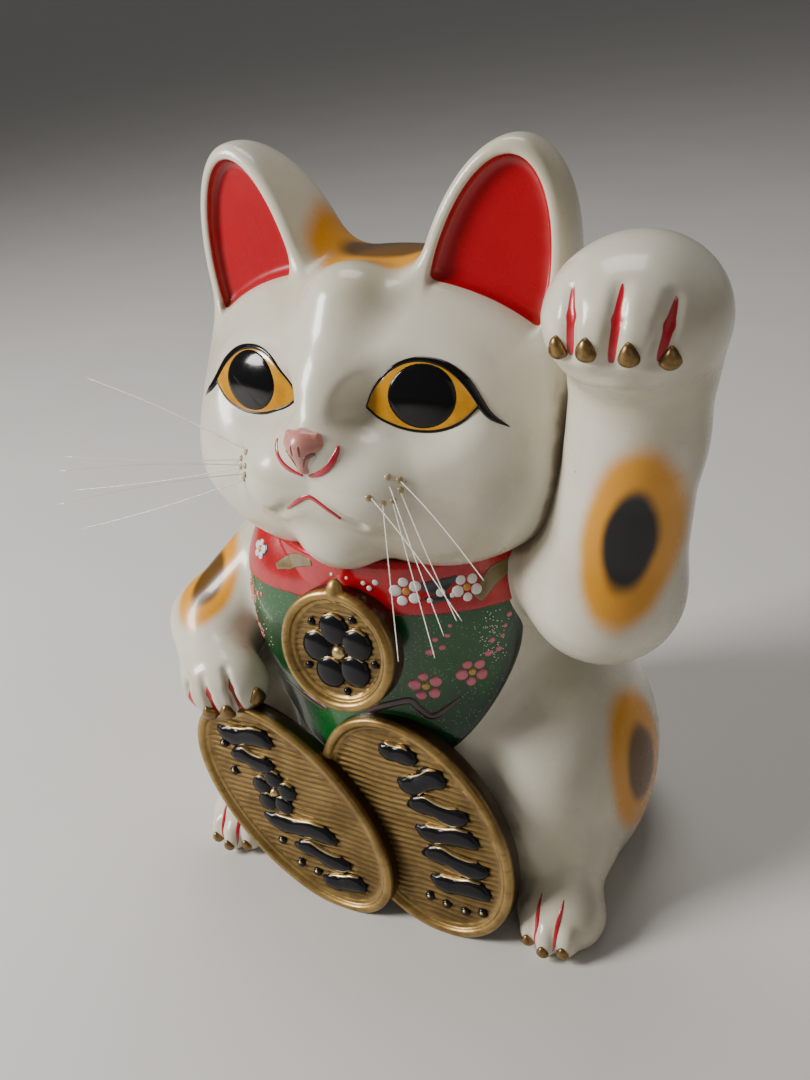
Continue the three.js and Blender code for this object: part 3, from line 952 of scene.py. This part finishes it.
def mark_blossom(black, gold, at, rows, centre, petal, spread, turn=0.0):
    """A plum blossom of raised petals, each with a gold glint on its upper edge."""
    for k in range(5):
        a = math.radians(90 + turn + 72 * k)
        x, y = centre[0] + spread * math.cos(a), centre[1] + spread * math.sin(a)
        black.dot(on_plane(at, rows, [(x, y)])[0], petal, 3.2)
        # Painted highlight: a gold arc on the upper edge of each petal
        reach = petal * 0.92
        arc = [(x + reach * math.cos(t), y + reach * math.sin(t)) for t in np.radians([50, 90, 130])]
        gold.stroke(on_plane(at, rows, arc), [0.5, 0.9, 0.5], 2.4)
    gold.dot(on_plane(at, rows, [centre])[0], petal * 0.42, 3.2)


# Bars: centre, length, rise of the wave, turn and half width. Dots: across and up.
FRONT_BARS = [((-34, 46), 44, 3.0, -6, 6.4), ((-30, 29), 34, -2.2, 2, 5.6), ((4, -15), 58, 2.2, -6, 6.0),
              ((20, -32), 44, -2.0, -4, 5.4), ((36, -49), 34, 1.6, 2, 5.8)]
FRONT_DOTS = [(-52, 36), (-46, 16), (-12, -30), (2, -44), (15, -47)]
REAR_BARS = [((6, 36), 34, 3.4, 8, 6.4), ((16, 18), 42, -2.6, 6, 6.0), ((22, 1), 44, 2.2, -2, 5.8),
             ((27, -17), 46, -2.4, 2, 6.0), ((30, -35), 42, 2.0, -4, 6.0), ((-10, 52), 26, 2.0, -20, 5.6)]
REAR_DOTS = [(8, -50), (20, -52), (33, -53), (45, -50)]


def koban_motif(black, gold, at, bars, dots, blossom):
    rows = axes(0, KOBAN_TILT)
    mark_bars(black, gold, at, rows, bars)
    if blossom:
        mark_blossom(black, gold, at, rows, blossom, 7.6, 10.5)
    for across, up in dots:
        black.dot(on_plane(at, rows, [(across, up)])[0], 3.4, 2.6)
        # Painted highlight: a small gold dot on the upper part of each black dot
        gold.dot(on_plane(at, rows, [(across, up + 1.0)])[0], 1.5, 3.1)


def medallion_motif(black, gold):
    """A plum blossom with a dot between each two petals."""
    rows = axes(0, MEDALLION_TILT)
    mark_blossom(black, gold, MEDALLION_AT, rows, (1, -1), 10.6, 14.6, 12)
    for k in range(5):
        a = math.radians(126 + 12 + 72 * k)
        spot = (1 + 24.5 * math.cos(a), -1 + 24.5 * math.sin(a))
        black.dot(on_plane(MEDALLION_AT, rows, [spot])[0], 2.6, 2.2)


def coin_motifs():
    dark = (0.006, 0.006, 0.008)
    paint = enamel("black_relief", dark, (0.006, 0.006, 0.007), 0.14, 0.2, coat=0.15, shine=0.2)
    # Gold paint for the blossom centres and for the painted highlights on the black marks
    bright = plain_gold("gold_paint_and_highlights", (0.78, 0.58, 0.27), 0.22)
    tilted = axes(0, KOBAN_TILT)
    faces = {
        "koban_front": lifted_face(KOBAN_FRONT["at"], tilted, KOBAN_RECESS),
        "koban_rear": lifted_face(KOBAN_REAR["at"], tilted, KOBAN_RECESS),
        "medallion": lifted_face(MEDALLION_AT, axes(0, MEDALLION_TILT), MEDALLION_RECESS),
    }
    motifs = {name: (Relief(face), Relief(face)) for name, face in faces.items()}
    koban_motif(*motifs["koban_front"], KOBAN_FRONT["at"], FRONT_BARS, FRONT_DOTS, (-14, 8))
    koban_motif(*motifs["koban_rear"], KOBAN_REAR["at"], REAR_BARS, REAR_DOTS, None)
    medallion_motif(*motifs["medallion"])
    for name, (black, gold) in motifs.items():
        black.build(name + "_motif", paint, "antique_gold")
        gold.build(name + "_glints", bright, "antique_gold")


# ---- eyes, nose and mouth ----
# Lids, across and up from the middle of the eye, each with half widths along it
UPPER_LID = [(-31.5, -6.5), (-28, 1.5), (-20.5, 11), (-11, 17.0), (1, 18.8), (13, 15.8), (23, 8.0),
             (31, -3), (37, -10), (48, -15)]
UPPER_WIDTH = [0.6, 0.8, 1.0, 1.3, 1.7, 2.4, 2.9, 2.6, 1.9, 0.25]
UPPER_COUNT = 8   # the upper lid's points over the eye itself; the rest are its outer flick
LOWER_LID = [(-31.5, -6.5), (-24, -12.6), (-14, -17.2), (-2, -19.4), (10, -18.8), (21, -14.2), (31, -4.5)]
LOWER_WIDTH = [0.6, 0.75, 0.8, 0.8, 0.8, 0.75, 0.6]
PUPIL = dict(centre=(0.5, -0.2), half=(20.0, 18.4), rings=10, steps=40)
EYE_ROWS = 44
EYE_COLUMNS = 22


def eye_frame(side):
    """Middle and axes of the eye on one side."""
    rows = axes(EYE_YAW, EYE_TILT)
    at = np.array(EYE_AT)
    if side < 0:
        rows = rows * np.array([-1, 1, 1])
        at = at * np.array([-1, 1, 1])
    return at, rows


def lid_edges(across):
    """Lower and upper edge of the eye opening."""
    top = smooth_path([(x, y, 0) for x, y in UPPER_LID[:UPPER_COUNT]], 0.5)
    bottom = smooth_path([(x, y, 0) for x, y in LOWER_LID], 0.5)
    return np.interp(across, bottom[:, 0], bottom[:, 1]), np.interp(across, top[:, 0], top[:, 1])


def eye_bulge(across, up):
    """How far the eye stands out of the socket."""
    low, high = lid_edges(across)
    share = np.clip((up - low) / np.maximum(high - low, 0.5), 0, 1)
    return 0.25 + 2.8 * (4 * share * (1 - share)) ** 0.7 * np.clip(1 - (across / 32) ** 2, 0, 1) ** 0.6


def patch(inner, outer):
    """Quads between matching rows of points, closed behind."""
    rows, columns = inner.shape[:2]
    front = np.arange(rows * columns).reshape(rows, columns)
    back = front + rows * columns
    faces = []
    for i in range(rows - 1):
        for j in range(columns - 1):
            faces.append([front[i, j], front[i, j + 1], front[i + 1, j + 1], front[i + 1, j]])
            faces.append([back[i, j], back[i + 1, j], back[i + 1, j + 1], back[i, j + 1]])
    rim = [(i, 0) for i in range(rows)] + [(rows - 1, j) for j in range(1, columns)]
    rim += [(i, columns - 1) for i in range(rows - 2, -1, -1)] + [(0, j) for j in range(columns - 2, 0, -1)]
    for (a, b), (c, d) in zip(rim, rim[1:] + rim[:1]):
        faces.append([front[a, b], front[c, d], back[c, d], back[a, b]])
    return np.concatenate([outer.reshape(-1, 3), inner.reshape(-1, 3)]), faces


def almond(at, rows):
    """The ochre almond between the lids."""
    across = np.linspace(-31, 30.5, EYE_ROWS)
    low, high = lid_edges(across)
    grade = np.linspace(0, 1, EYE_COLUMNS)
    up = low[:, None] * (1 - grade) + high[:, None] * grade
    wide = np.repeat(across[:, None], EYE_COLUMNS, axis=1)
    flat = at + wide[..., None] * rows[0] + up[..., None] * rows[1]
    ground, normals = settle(head, flat.reshape(-1, 3), 4)
    lift = eye_bulge(wide, up).reshape(-1, 1)
    outer = (ground + normals * lift).reshape(flat.shape)
    inner = (ground - normals * 0.6).reshape(flat.shape)
    return patch(inner, outer)


def pupil(at, rows):
    """A low black dome on the almond."""
    angle = np.linspace(0, 2 * math.pi, PUPIL["steps"], endpoint=False)
    grow = np.linspace(1, 0.02, PUPIL["rings"])
    across = PUPIL["centre"][0] + np.outer(grow, np.cos(angle)) * PUPIL["half"][0]
    up = PUPIL["centre"][1] + np.outer(grow, np.sin(angle)) * PUPIL["half"][1]
    flat = at + across[..., None] * rows[0] + up[..., None] * rows[1]
    ground, normals = settle(head, flat.reshape(-1, 3), 4)
    rise = 0.25 + 0.9 * np.clip(1 - grow ** 2, 0, 1)[:, None] + eye_bulge(across, up)
    rise[0] -= 0.8
    return ground + normals * rise.reshape(-1, 1), tube(PUPIL["rings"], PUPIL["steps"])


def facing(faces, side):
    """Faces of a mirrored piece, wound the right way round."""
    return [f[::-1] for f in faces] if side < 0 else faces


def eyes():
    ochre = enamel("ochre_enamel", (0.66, 0.30, 0.008), (0.50, 0.21, 0.006), 0.14)
    dark = (0.004, 0.004, 0.005)
    black = enamel("black_enamel", dark, (0.004, 0.004, 0.004), 0.07, 0.03, coat=0.3, shine=0.2)
    for side, name in ((1, "left"), (-1, "right")):
        at, rows = eye_frame(side)
        points, faces = almond(at, rows)
        piece(f"eye_{name}_ochre", points, facing(faces, side), ochre,
              slot="eye_enamel", replaces=[f"eye_{name}"])
        points, faces = pupil(at, rows)
        piece(f"eye_{name}_pupil", points, facing(faces, side), black, slot="eye_enamel")
        lids = Relief(head)
        lids.stroke(on_plane(at, rows, UPPER_LID), UPPER_WIDTH, 1.7)
        lids.stroke(on_plane(at, rows, LOWER_LID), LOWER_WIDTH, 1.2)
        lids.faces = facing(lids.faces, side)
        lids.build(f"eye_{name}_lids", black, "eye_enamel")


def on_face(points):
    """Points across and up the face, started in front of it."""
    return [(x, -116.0 + 0.25 * abs(x), z) for x, z in points]


MOUTH = [(-16.8, 294.0), (-9, 299.5), (-0.5, 302.2), (8.5, 298.8), (16, 292.0)]


def nose_pad():
    pink = enamel("nose_pink", (0.56, 0.235, 0.19), (0.47, 0.17, 0.135), 0.3, 0.3, 0.4)
    points, faces, _ = sculpt(nose, (-22, -130, 308), (22, -95, 346), 0.8)
    piece("nose_pad", points, faces, pink, slot="nose_enamel", replaces=["nose"])
    lines = Relief(nose)
    for side in (-1, 1):
        wing = [(side * 3, -124, 322), (side * 5, -124, 327), (side * 9, -121, 329), (side * 11, -120, 326)]
        lines.stroke(wing, [0.4, 1.1, 1.4, 0.5], 0.5, 0.6)
        lines.stroke([(side * 2.2, -124, 335), (side * 2.4, -125, 329)], [0.3, 0.7, 0.3], 0.4, 0.6)
    shade = enamel("nose_shade", (0.20, 0.05, 0.045), (0.26, 0.07, 0.06), 0.3)
    lines.build("nose_lines", shade, "nose_enamel")


def mouth():
    """The red mouth line, and the red strokes from the nose to the cheeks."""
    lips = Relief(head)
    lips.stroke(on_face(MOUTH), [0.7, 1.5, 1.5, 1.6, 0.9], 0.8)
    for side in (-1, 1):
        cheek = [(side * 18.6, 331.5), (side * 17, 327.5), (side * 11.6, 322.0), (side * 2.0, 316.5)]
        lips.stroke(on_face(cheek), [0.9, 2.0, 1.9, 0.9], 0.8)
    lips.build("mouth_lines", enamel("lip_red", (0.50, 0.012, 0.03), (0.40, 0.01, 0.02), 0.2), "red_enamel")


# ---- paws ----
FOOT_SLITS = [[(side * x, -106, 34), (side * x, -120, 22), (side * (x - 0.5), -126, 8)]
              for side in (-1, 1) for x in (114, 127)]
RAISED_CLAWS = [(139.6, -101, 388), (156, -108.5, 390.5), (175, -107, 389), (190.5, -96, 384.5)]
LOWERED_CLAWS = [(-79, -111, 141.5), (-91.5, -125, 134), (-105, -131, 128.5)]
FOOT_CLAWS = [(side * x, y - 9, z - 4) for x, y, z in FOOT_TOES for side in (-1, 1)]


def paws():
    """Bronze nails, and the red slits of the feet."""
    bronze = plain_gold("claw_bronze", (0.30, 0.19, 0.075), 0.28)
    for name, field, roots, size in (("raised_paw", raised_arm, RAISED_CLAWS, 5.4),
                                     ("lowered_paw", lowered_arm, LOWERED_CLAWS, 6.0),
                                     ("feet", torso_body, FOOT_CLAWS, 4.4)):
        nails = Relief(field)
        for root in roots:
            nails.dot(root, size, size * 0.62, nail=True)
        nails.build(name + "_claws", bronze, "antique_gold")
    lines = Relief(torso_body)
    for slit in FOOT_SLITS:
        lines.stroke(slit, [0.3, 1.2, 1.5, 1.2, 0.4], 0.6)
    lines.build("feet_slits", enamel("slit_red", (0.46, 0.004, 0.016), (0.38, 0.01, 0.02), 0.2), "red_enamel")


# ---- flowers of the collar and bib ----
def flower(petals, centres, at, radius, spread, turn=0.0):
    """Five round petals round a coloured centre, lying on the petals' surface."""
    at, normal = settle(petals.field, [at], 4)
    right = np.cross([0, 0, 1], normal[0])
    right /= np.linalg.norm(right)
    up = np.cross(normal[0], right)
    for k in range(5):
        a = math.radians(90 + turn + 72 * k)
        place = at[0] + spread * (math.cos(a) * right + math.sin(a) * up)
        petals.dot(place, radius * (1 + 0.12 * math.cos(a * 2)), 0.7)
    centres.dot(at[0], radius * 0.72, 0.8)


# Flowers: place, petal radius, spread and turn. Buds: x, y, z and radius.
COLLAR_FLOWERS = [((38, -96, 235), 3.3, 6.2, 10), ((68, -78, 233), 3.1, 5.8, 30),
                  ((-68, -80, 236), 2.6, 4.2, 0)]
COLLAR_BUDS = [(56, -88, 233, 2.7), (50.5, -92, 229, 1.7), (21.5, -102, 241, 1.9), (17.5, -103, 237, 1.7),
               (14, -103, 240, 1.5), (3.5, -104, 242, 1.1), (-7, -104, 242.5, 1.2), (61, -84, 230, 1.5)]
BIB_FLOWERS = [((40, -92, 165), 3.5, 6.9, 8), ((65, -77, 171), 3.4, 6.6, 24),
               ((-84, -78, 176), 3.3, 6.2, 0), ((-84, -80, 203), 3.0, 5.2, 20)]
BIB_BUDS = [(46, -92, 191, 2.9), (53, -89, 194, 2.2), (50.5, -92, 201, 1.9), (57, -88, 203, 1.6),
            (59, -87, 210, 1.3), (73.5, -70, 182, 2.6), (78, -65, 183, 2.1), (76, -69, 192, 1.9),
            (80.5, -64, 193, 1.5), (82.5, -63, 200, 1.4), (85, -61, 207, 1.8), (-88, -72, 214, 1.8),
            (-84, -76, 218, 1.5), (-72, -84, 207, 1.8), (-68, -86, 209, 1.5)]

# Painted strokes: path and half widths along it
DARK_PATCHES = [
    ([(44, -93, 239), (54, -88, 236), (64, -80, 240)], [0.8, 4.5, 4.0, 1.2]),
    ([(46, -92, 229.5), (56, -88, 229), (64, -82, 230)], [0.6, 2.4, 2.2, 0.5]),
    ([(-62, -84, 240), (-70, -78, 232)], [2, 5, 3]),
]
CLOUDS = [
    ([(88, -48, 239), (80, -64, 236), (73, -76, 225)], [3, 5.5, 3.5]),
    ([(-52, -88, 232), (-44, -94, 239), (-34, -98, 244), (-22, -101, 246)], [2, 4.5, 4.5, 2]),
]
BRANCHES = [
    ([(0.5, -105, 141), (9.5, -103, 148.5), (29.5, -98, 155.5), (36, -97, 151), (44, -95, 145.5),
      (54, -88, 152), (59, -84, 156)], [2.0, 2.6, 2.2, 2.4, 2.4, 1.6, 0.6]),
    ([(-88, -72, 166), (-80, -80, 152), (-70, -84, 142), (-47, -95, 137), (-30, -102, 136)],
     [0.8, 1.6, 2.0, 2.2, 1.4]),
]
# Fine white spray: count, lower and upper corner of its box, seed
SPRAY = [(90, (66, -80, 174), (88, -60, 214), 3), (70, (-92, -80, 170), (-62, -70, 214), 4)]


def bib_skin(p):
    return torso_body(p) - BIB_RELIEF


def scattered(count, low, high, seed):
    """Reproducible points in a box."""
    draw = np.random.default_rng(seed)
    return draw.uniform(low, high, (count, 3))


def strokes(field, paths, height, name, paint, slot):
    """Several painted strokes as one piece."""
    relief = Relief(field)
    for path, width in paths:
        relief.stroke(path, width, height)
    relief.build(name, paint, slot)


def blossoms(field, flowers, buds, name, petal_paint, centre_paint, slot):
    """Flowers and buds: one piece of petals and one of flower centres."""
    petals, centres = Relief(field), Relief(field)
    for place in flowers:
        flower(petals, centres, *place)
    for x, y, z, radius in buds:
        petals.dot((x, y, z), radius, 0.6)
    petals.build(name + "_petals", petal_paint, slot)
    centres.build(name + "_pollen", centre_paint, slot)


def collar_flowers(white):
    amber = enamel("pollen_amber", (0.55, 0.22, 0.03), (0.42, 0.16, 0.02), 0.35)
    dark = enamel("patch_black", (0.008, 0.008, 0.010), (0.015, 0.014, 0.016), 0.25)
    olive = enamel("cloud_olive", (0.20, 0.14, 0.045), (0.14, 0.095, 0.03), 0.3)
    strokes(collar, DARK_PATCHES, 0.25, "collar_dark_patches", dark, "red_enamel")
    strokes(collar, CLOUDS, 0.3, "collar_clouds", olive, "red_enamel")
    blossoms(collar, COLLAR_FLOWERS, COLLAR_BUDS, "collar", white, amber, "red_enamel")


def bib_flowers(white):
    pink = enamel("petal_pink", (0.72, 0.16, 0.22), (0.60, 0.10, 0.16), 0.35)
    yellow = enamel("pollen_yellow", (0.62, 0.36, 0.04), (0.52, 0.28, 0.03), 0.35)
    brown = enamel("branch_brown", (0.060, 0.018, 0.020), (0.040, 0.012, 0.014), 0.3)
    strokes(bib_skin, BRANCHES, 0.3, "bib_branches", brown, "green_enamel")
    blossoms(bib_skin, BIB_FLOWERS, BIB_BUDS, "bib", pink, yellow, "green_enamel")
    spray = Relief(bib_skin)
    for box in SPRAY:
        for place in scattered(*box):
            spray.dot(place, 0.42, 0.3, steps=6)
    spray.build("bib_spray", white, "green_enamel")


def flowers():
    white = enamel("petal_white", (0.80, 0.78, 0.74), (0.70, 0.67, 0.62), 0.35)
    collar_flowers(white)
    bib_flowers(white)


# ---- whiskers ----
WHISKER_ROOTS = (42.0, -110.0, 311.0)   # middle of the patch that they grow from
WHISKER_GATHER = 0.6                    # how near the roots stay to that middle, 1 as in the frame
WHISKER_SAG = 3.0
WHISKER_RADIUS = 0.36
WHISKER_RINGS = 26
WHISKER_SIDES = 8
WHISKER_GLUE = 0.035                    # where the glue bead sits along the whisker
FACE_MIDDLE = (0, -60, 310)


def straight_whisker(name):
    """Root and tip of a whisker of the frame."""
    points = np.array([v.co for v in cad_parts[name].data.vertices]) / MM
    middle = points.mean(0)
    along = np.linalg.svd(points - middle)[2][0]
    reach = (points - middle) @ along
    ends = [middle + along * reach.min(), middle + along * reach.max()]
    return sorted(ends, key=lambda end: np.linalg.norm(end - np.array(FACE_MIDDLE)))


def whisker(name):
    """A thin bent filament along the straight one of the frame, rooted nearer to its neighbours."""
    root, tip = straight_whisker(name)
    gathered = np.array(WHISKER_ROOTS) * (np.sign(root[0]), 1, 1)
    root = gathered + (root - gathered) * WHISKER_GATHER
    line = tip - root
    sag = np.cross(np.cross(line, [0, 0, 1]), line)
    sag *= WHISKER_SAG / np.linalg.norm(sag)
    t = np.linspace(0, 1, WHISKER_RINGS)[:, None]
    centre = root + line * t + sag * np.sin(t * math.pi) * (1 if name[-1] in "135" else -0.6)
    radius = WHISKER_RADIUS * (1 - 0.35 * t)
    side = np.cross(line, [0.1, 0.2, 1.0])
    side /= np.linalg.norm(side)
    over = np.cross(side, line / np.linalg.norm(line))
    turn = np.linspace(0, 2 * math.pi, WHISKER_SIDES, endpoint=False)
    ring = np.cos(turn)[:, None] * side + np.sin(turn)[:, None] * over
    points = (centre[:, None] + ring[None] * radius[:, None]).reshape(-1, 3)
    return points, tube(WHISKER_RINGS, WHISKER_SIDES), root + line * WHISKER_GLUE


def whiskers():
    material = nylon()
    glue = enamel("whisker_glue", (0.42, 0.33, 0.16), (0.25, 0.17, 0.06), 0.3)
    beads = Relief(head)
    for name in sorted(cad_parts):
        if name.startswith("whisker"):
            points, faces, root = whisker(name)
            piece(name + "_filament", points, faces, material, slot="nylon", replaces=[name])
            beads.dot(root, 1.9, 1.1)
    beads.build("whisker_glue_beads", glue, "nylon")


# ---- stopper ----
STOPPER_STEPS = 72


def stopper_profile(radius, neck, bottom, top):
    """Radius and height round the plug: flange, neck, ribbed skirt and the hollow inside."""
    flange = [(0.1, bottom + 0.4), (radius * 0.5, bottom + 0.3), (radius * 0.86, bottom),
              (radius - 0.9, bottom + 0.15), (radius - 0.2, bottom + 0.8), (radius, bottom + 1.6),
              (radius - 0.3, bottom + 2.9), (neck + 0.2, bottom + 3.2)]
    skirt = [(neck, bottom + 3.8), (neck, bottom + 8), (neck - 0.7, bottom + 9), (neck - 0.1, bottom + 11),
             (neck - 0.9, bottom + 13.5), (neck - 0.5, bottom + 15.5), (neck - 1.5, top - 0.8),
             (neck - 2.2, top), (neck - 3.6, top), (neck - 4.4, top - 0.8)]
    return flange + skirt + [(neck - 4.5, bottom + 4.5), (0.1, bottom + 3.8)]


def stopper():
    """The rubber plug in the floor, turned about its axis."""
    low, high = (np.array(corner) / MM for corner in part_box("base_stopper"))
    centre = (low + high) / 2
    radius = (high[0] - low[0]) / 2
    profile = stopper_profile(radius, BASE_HOLE["radius"] - 0.3, low[2], high[2])
    turn = np.linspace(0, 2 * math.pi, STOPPER_STEPS, endpoint=False)
    points = np.array([[centre[0] + r * math.cos(a), centre[1] + r * math.sin(a), z]
                       for r, z in profile for a in turn])
    piece("stopper_plug", points, tube(len(profile), STOPPER_STEPS), rubber(),
          body="stopper", slot="rubber", replaces=["base_stopper"])


# ---- camera, light and floor ----
CAMERA_AT = np.array([323.0, -542.0, 567.0])
CAMERA_AZIMUTH = 32.2
CAMERA_PITCH = 29.4
CAMERA_ROLL = 7.8
CAMERA_LENS = 36.67

# Soft lights, in metres and watts: name, place, aim, size, power and colour
LIGHTS = [
    ("window", (-1.5, -1.1, 1.3), (0, 0, 0.25), (0.6, 0.9), 66, (1.0, 0.98, 0.95)),
    ("fill", (1.6, -1.5, 1.1), (0, 0, 0.2), (1.6, 1.6), 3, (1.0, 0.93, 0.84)),
    ("top", (-0.2, 0.6, 2.0), (0, 0, 0.2), (1.0, 0.8), 14, (1.0, 0.98, 0.96)),
]
WORLD_STRENGTH = 0.14
FLOOR_HALF = 40.0
FLOOR_LEVEL = -0.0004


def camera():
    azimuth, pitch, roll = (math.radians(v) for v in (CAMERA_AZIMUTH, CAMERA_PITCH, CAMERA_ROLL))
    ahead = Vector((-math.sin(azimuth), math.cos(azimuth), 0))
    right = Vector((math.cos(azimuth), math.sin(azimuth), 0))
    up = Vector((0, 0, 1))
    view = ahead * math.cos(pitch) - up * math.sin(pitch)
    above = ahead * math.sin(pitch) + up * math.cos(pitch)
    across = right * math.cos(roll) - above * math.sin(roll)
    over = right * math.sin(roll) + above * math.cos(roll)
    data = bpy.data.cameras.new("camera")
    data.sensor_fit = "AUTO"
    data.sensor_width = 36.0
    data.lens = CAMERA_LENS
    data.clip_start = 0.01
    data.dof.use_dof = False
    thing = bpy.data.objects.new("camera", data)
    turn = Matrix((across, over, -view)).transposed().to_4x4()
    thing.matrix_world = Matrix.Translation(Vector(CAMERA_AT * MM)) @ turn
    bpy.context.scene.collection.objects.link(thing)
    bpy.context.scene.camera = thing


def softbox(name, at, aim, size, power, colour):
    data = bpy.data.lights.new(name, "AREA")
    data.shape = "RECTANGLE"
    data.size, data.size_y = size
    data.energy = power
    data.color = colour
    thing = bpy.data.objects.new(name, data)
    thing.location = at
    thing.rotation_mode = "QUATERNION"
    thing.rotation_quaternion = (Vector(aim) - Vector(at)).to_track_quat("-Z", "Y")
    bpy.context.scene.collection.objects.link(thing)


def lights():
    for light in LIGHTS:
        softbox(*light)
    world = bpy.data.worlds.new("studio")
    world.use_nodes = True
    back = world.node_tree.nodes["Background"]
    back.inputs["Color"].default_value = rgb(0.80, 0.79, 0.77)
    back.inputs["Strength"].default_value = WORLD_STRENGTH
    bpy.context.scene.world = world


def floor():
    corners = [(-1, -1), (1, -1), (1, 1), (-1, 1)]
    mesh = bpy.data.meshes.new("floor")
    mesh.from_pydata([(x * FLOOR_HALF, y * FLOOR_HALF, FLOOR_LEVEL) for x, y in corners], [], [(0, 1, 2, 3)])
    mesh.materials.append(floor_paint())
    thing = bpy.data.objects.new("floor", mesh)
    bpy.context.scene.collection.objects.link(thing)


camera()
lights()
floor()
castings()
painted_reliefs()
coins()
coin_motifs()
eyes()
nose_pad()
mouth()
paws()
flowers()
whiskers()
stopper()
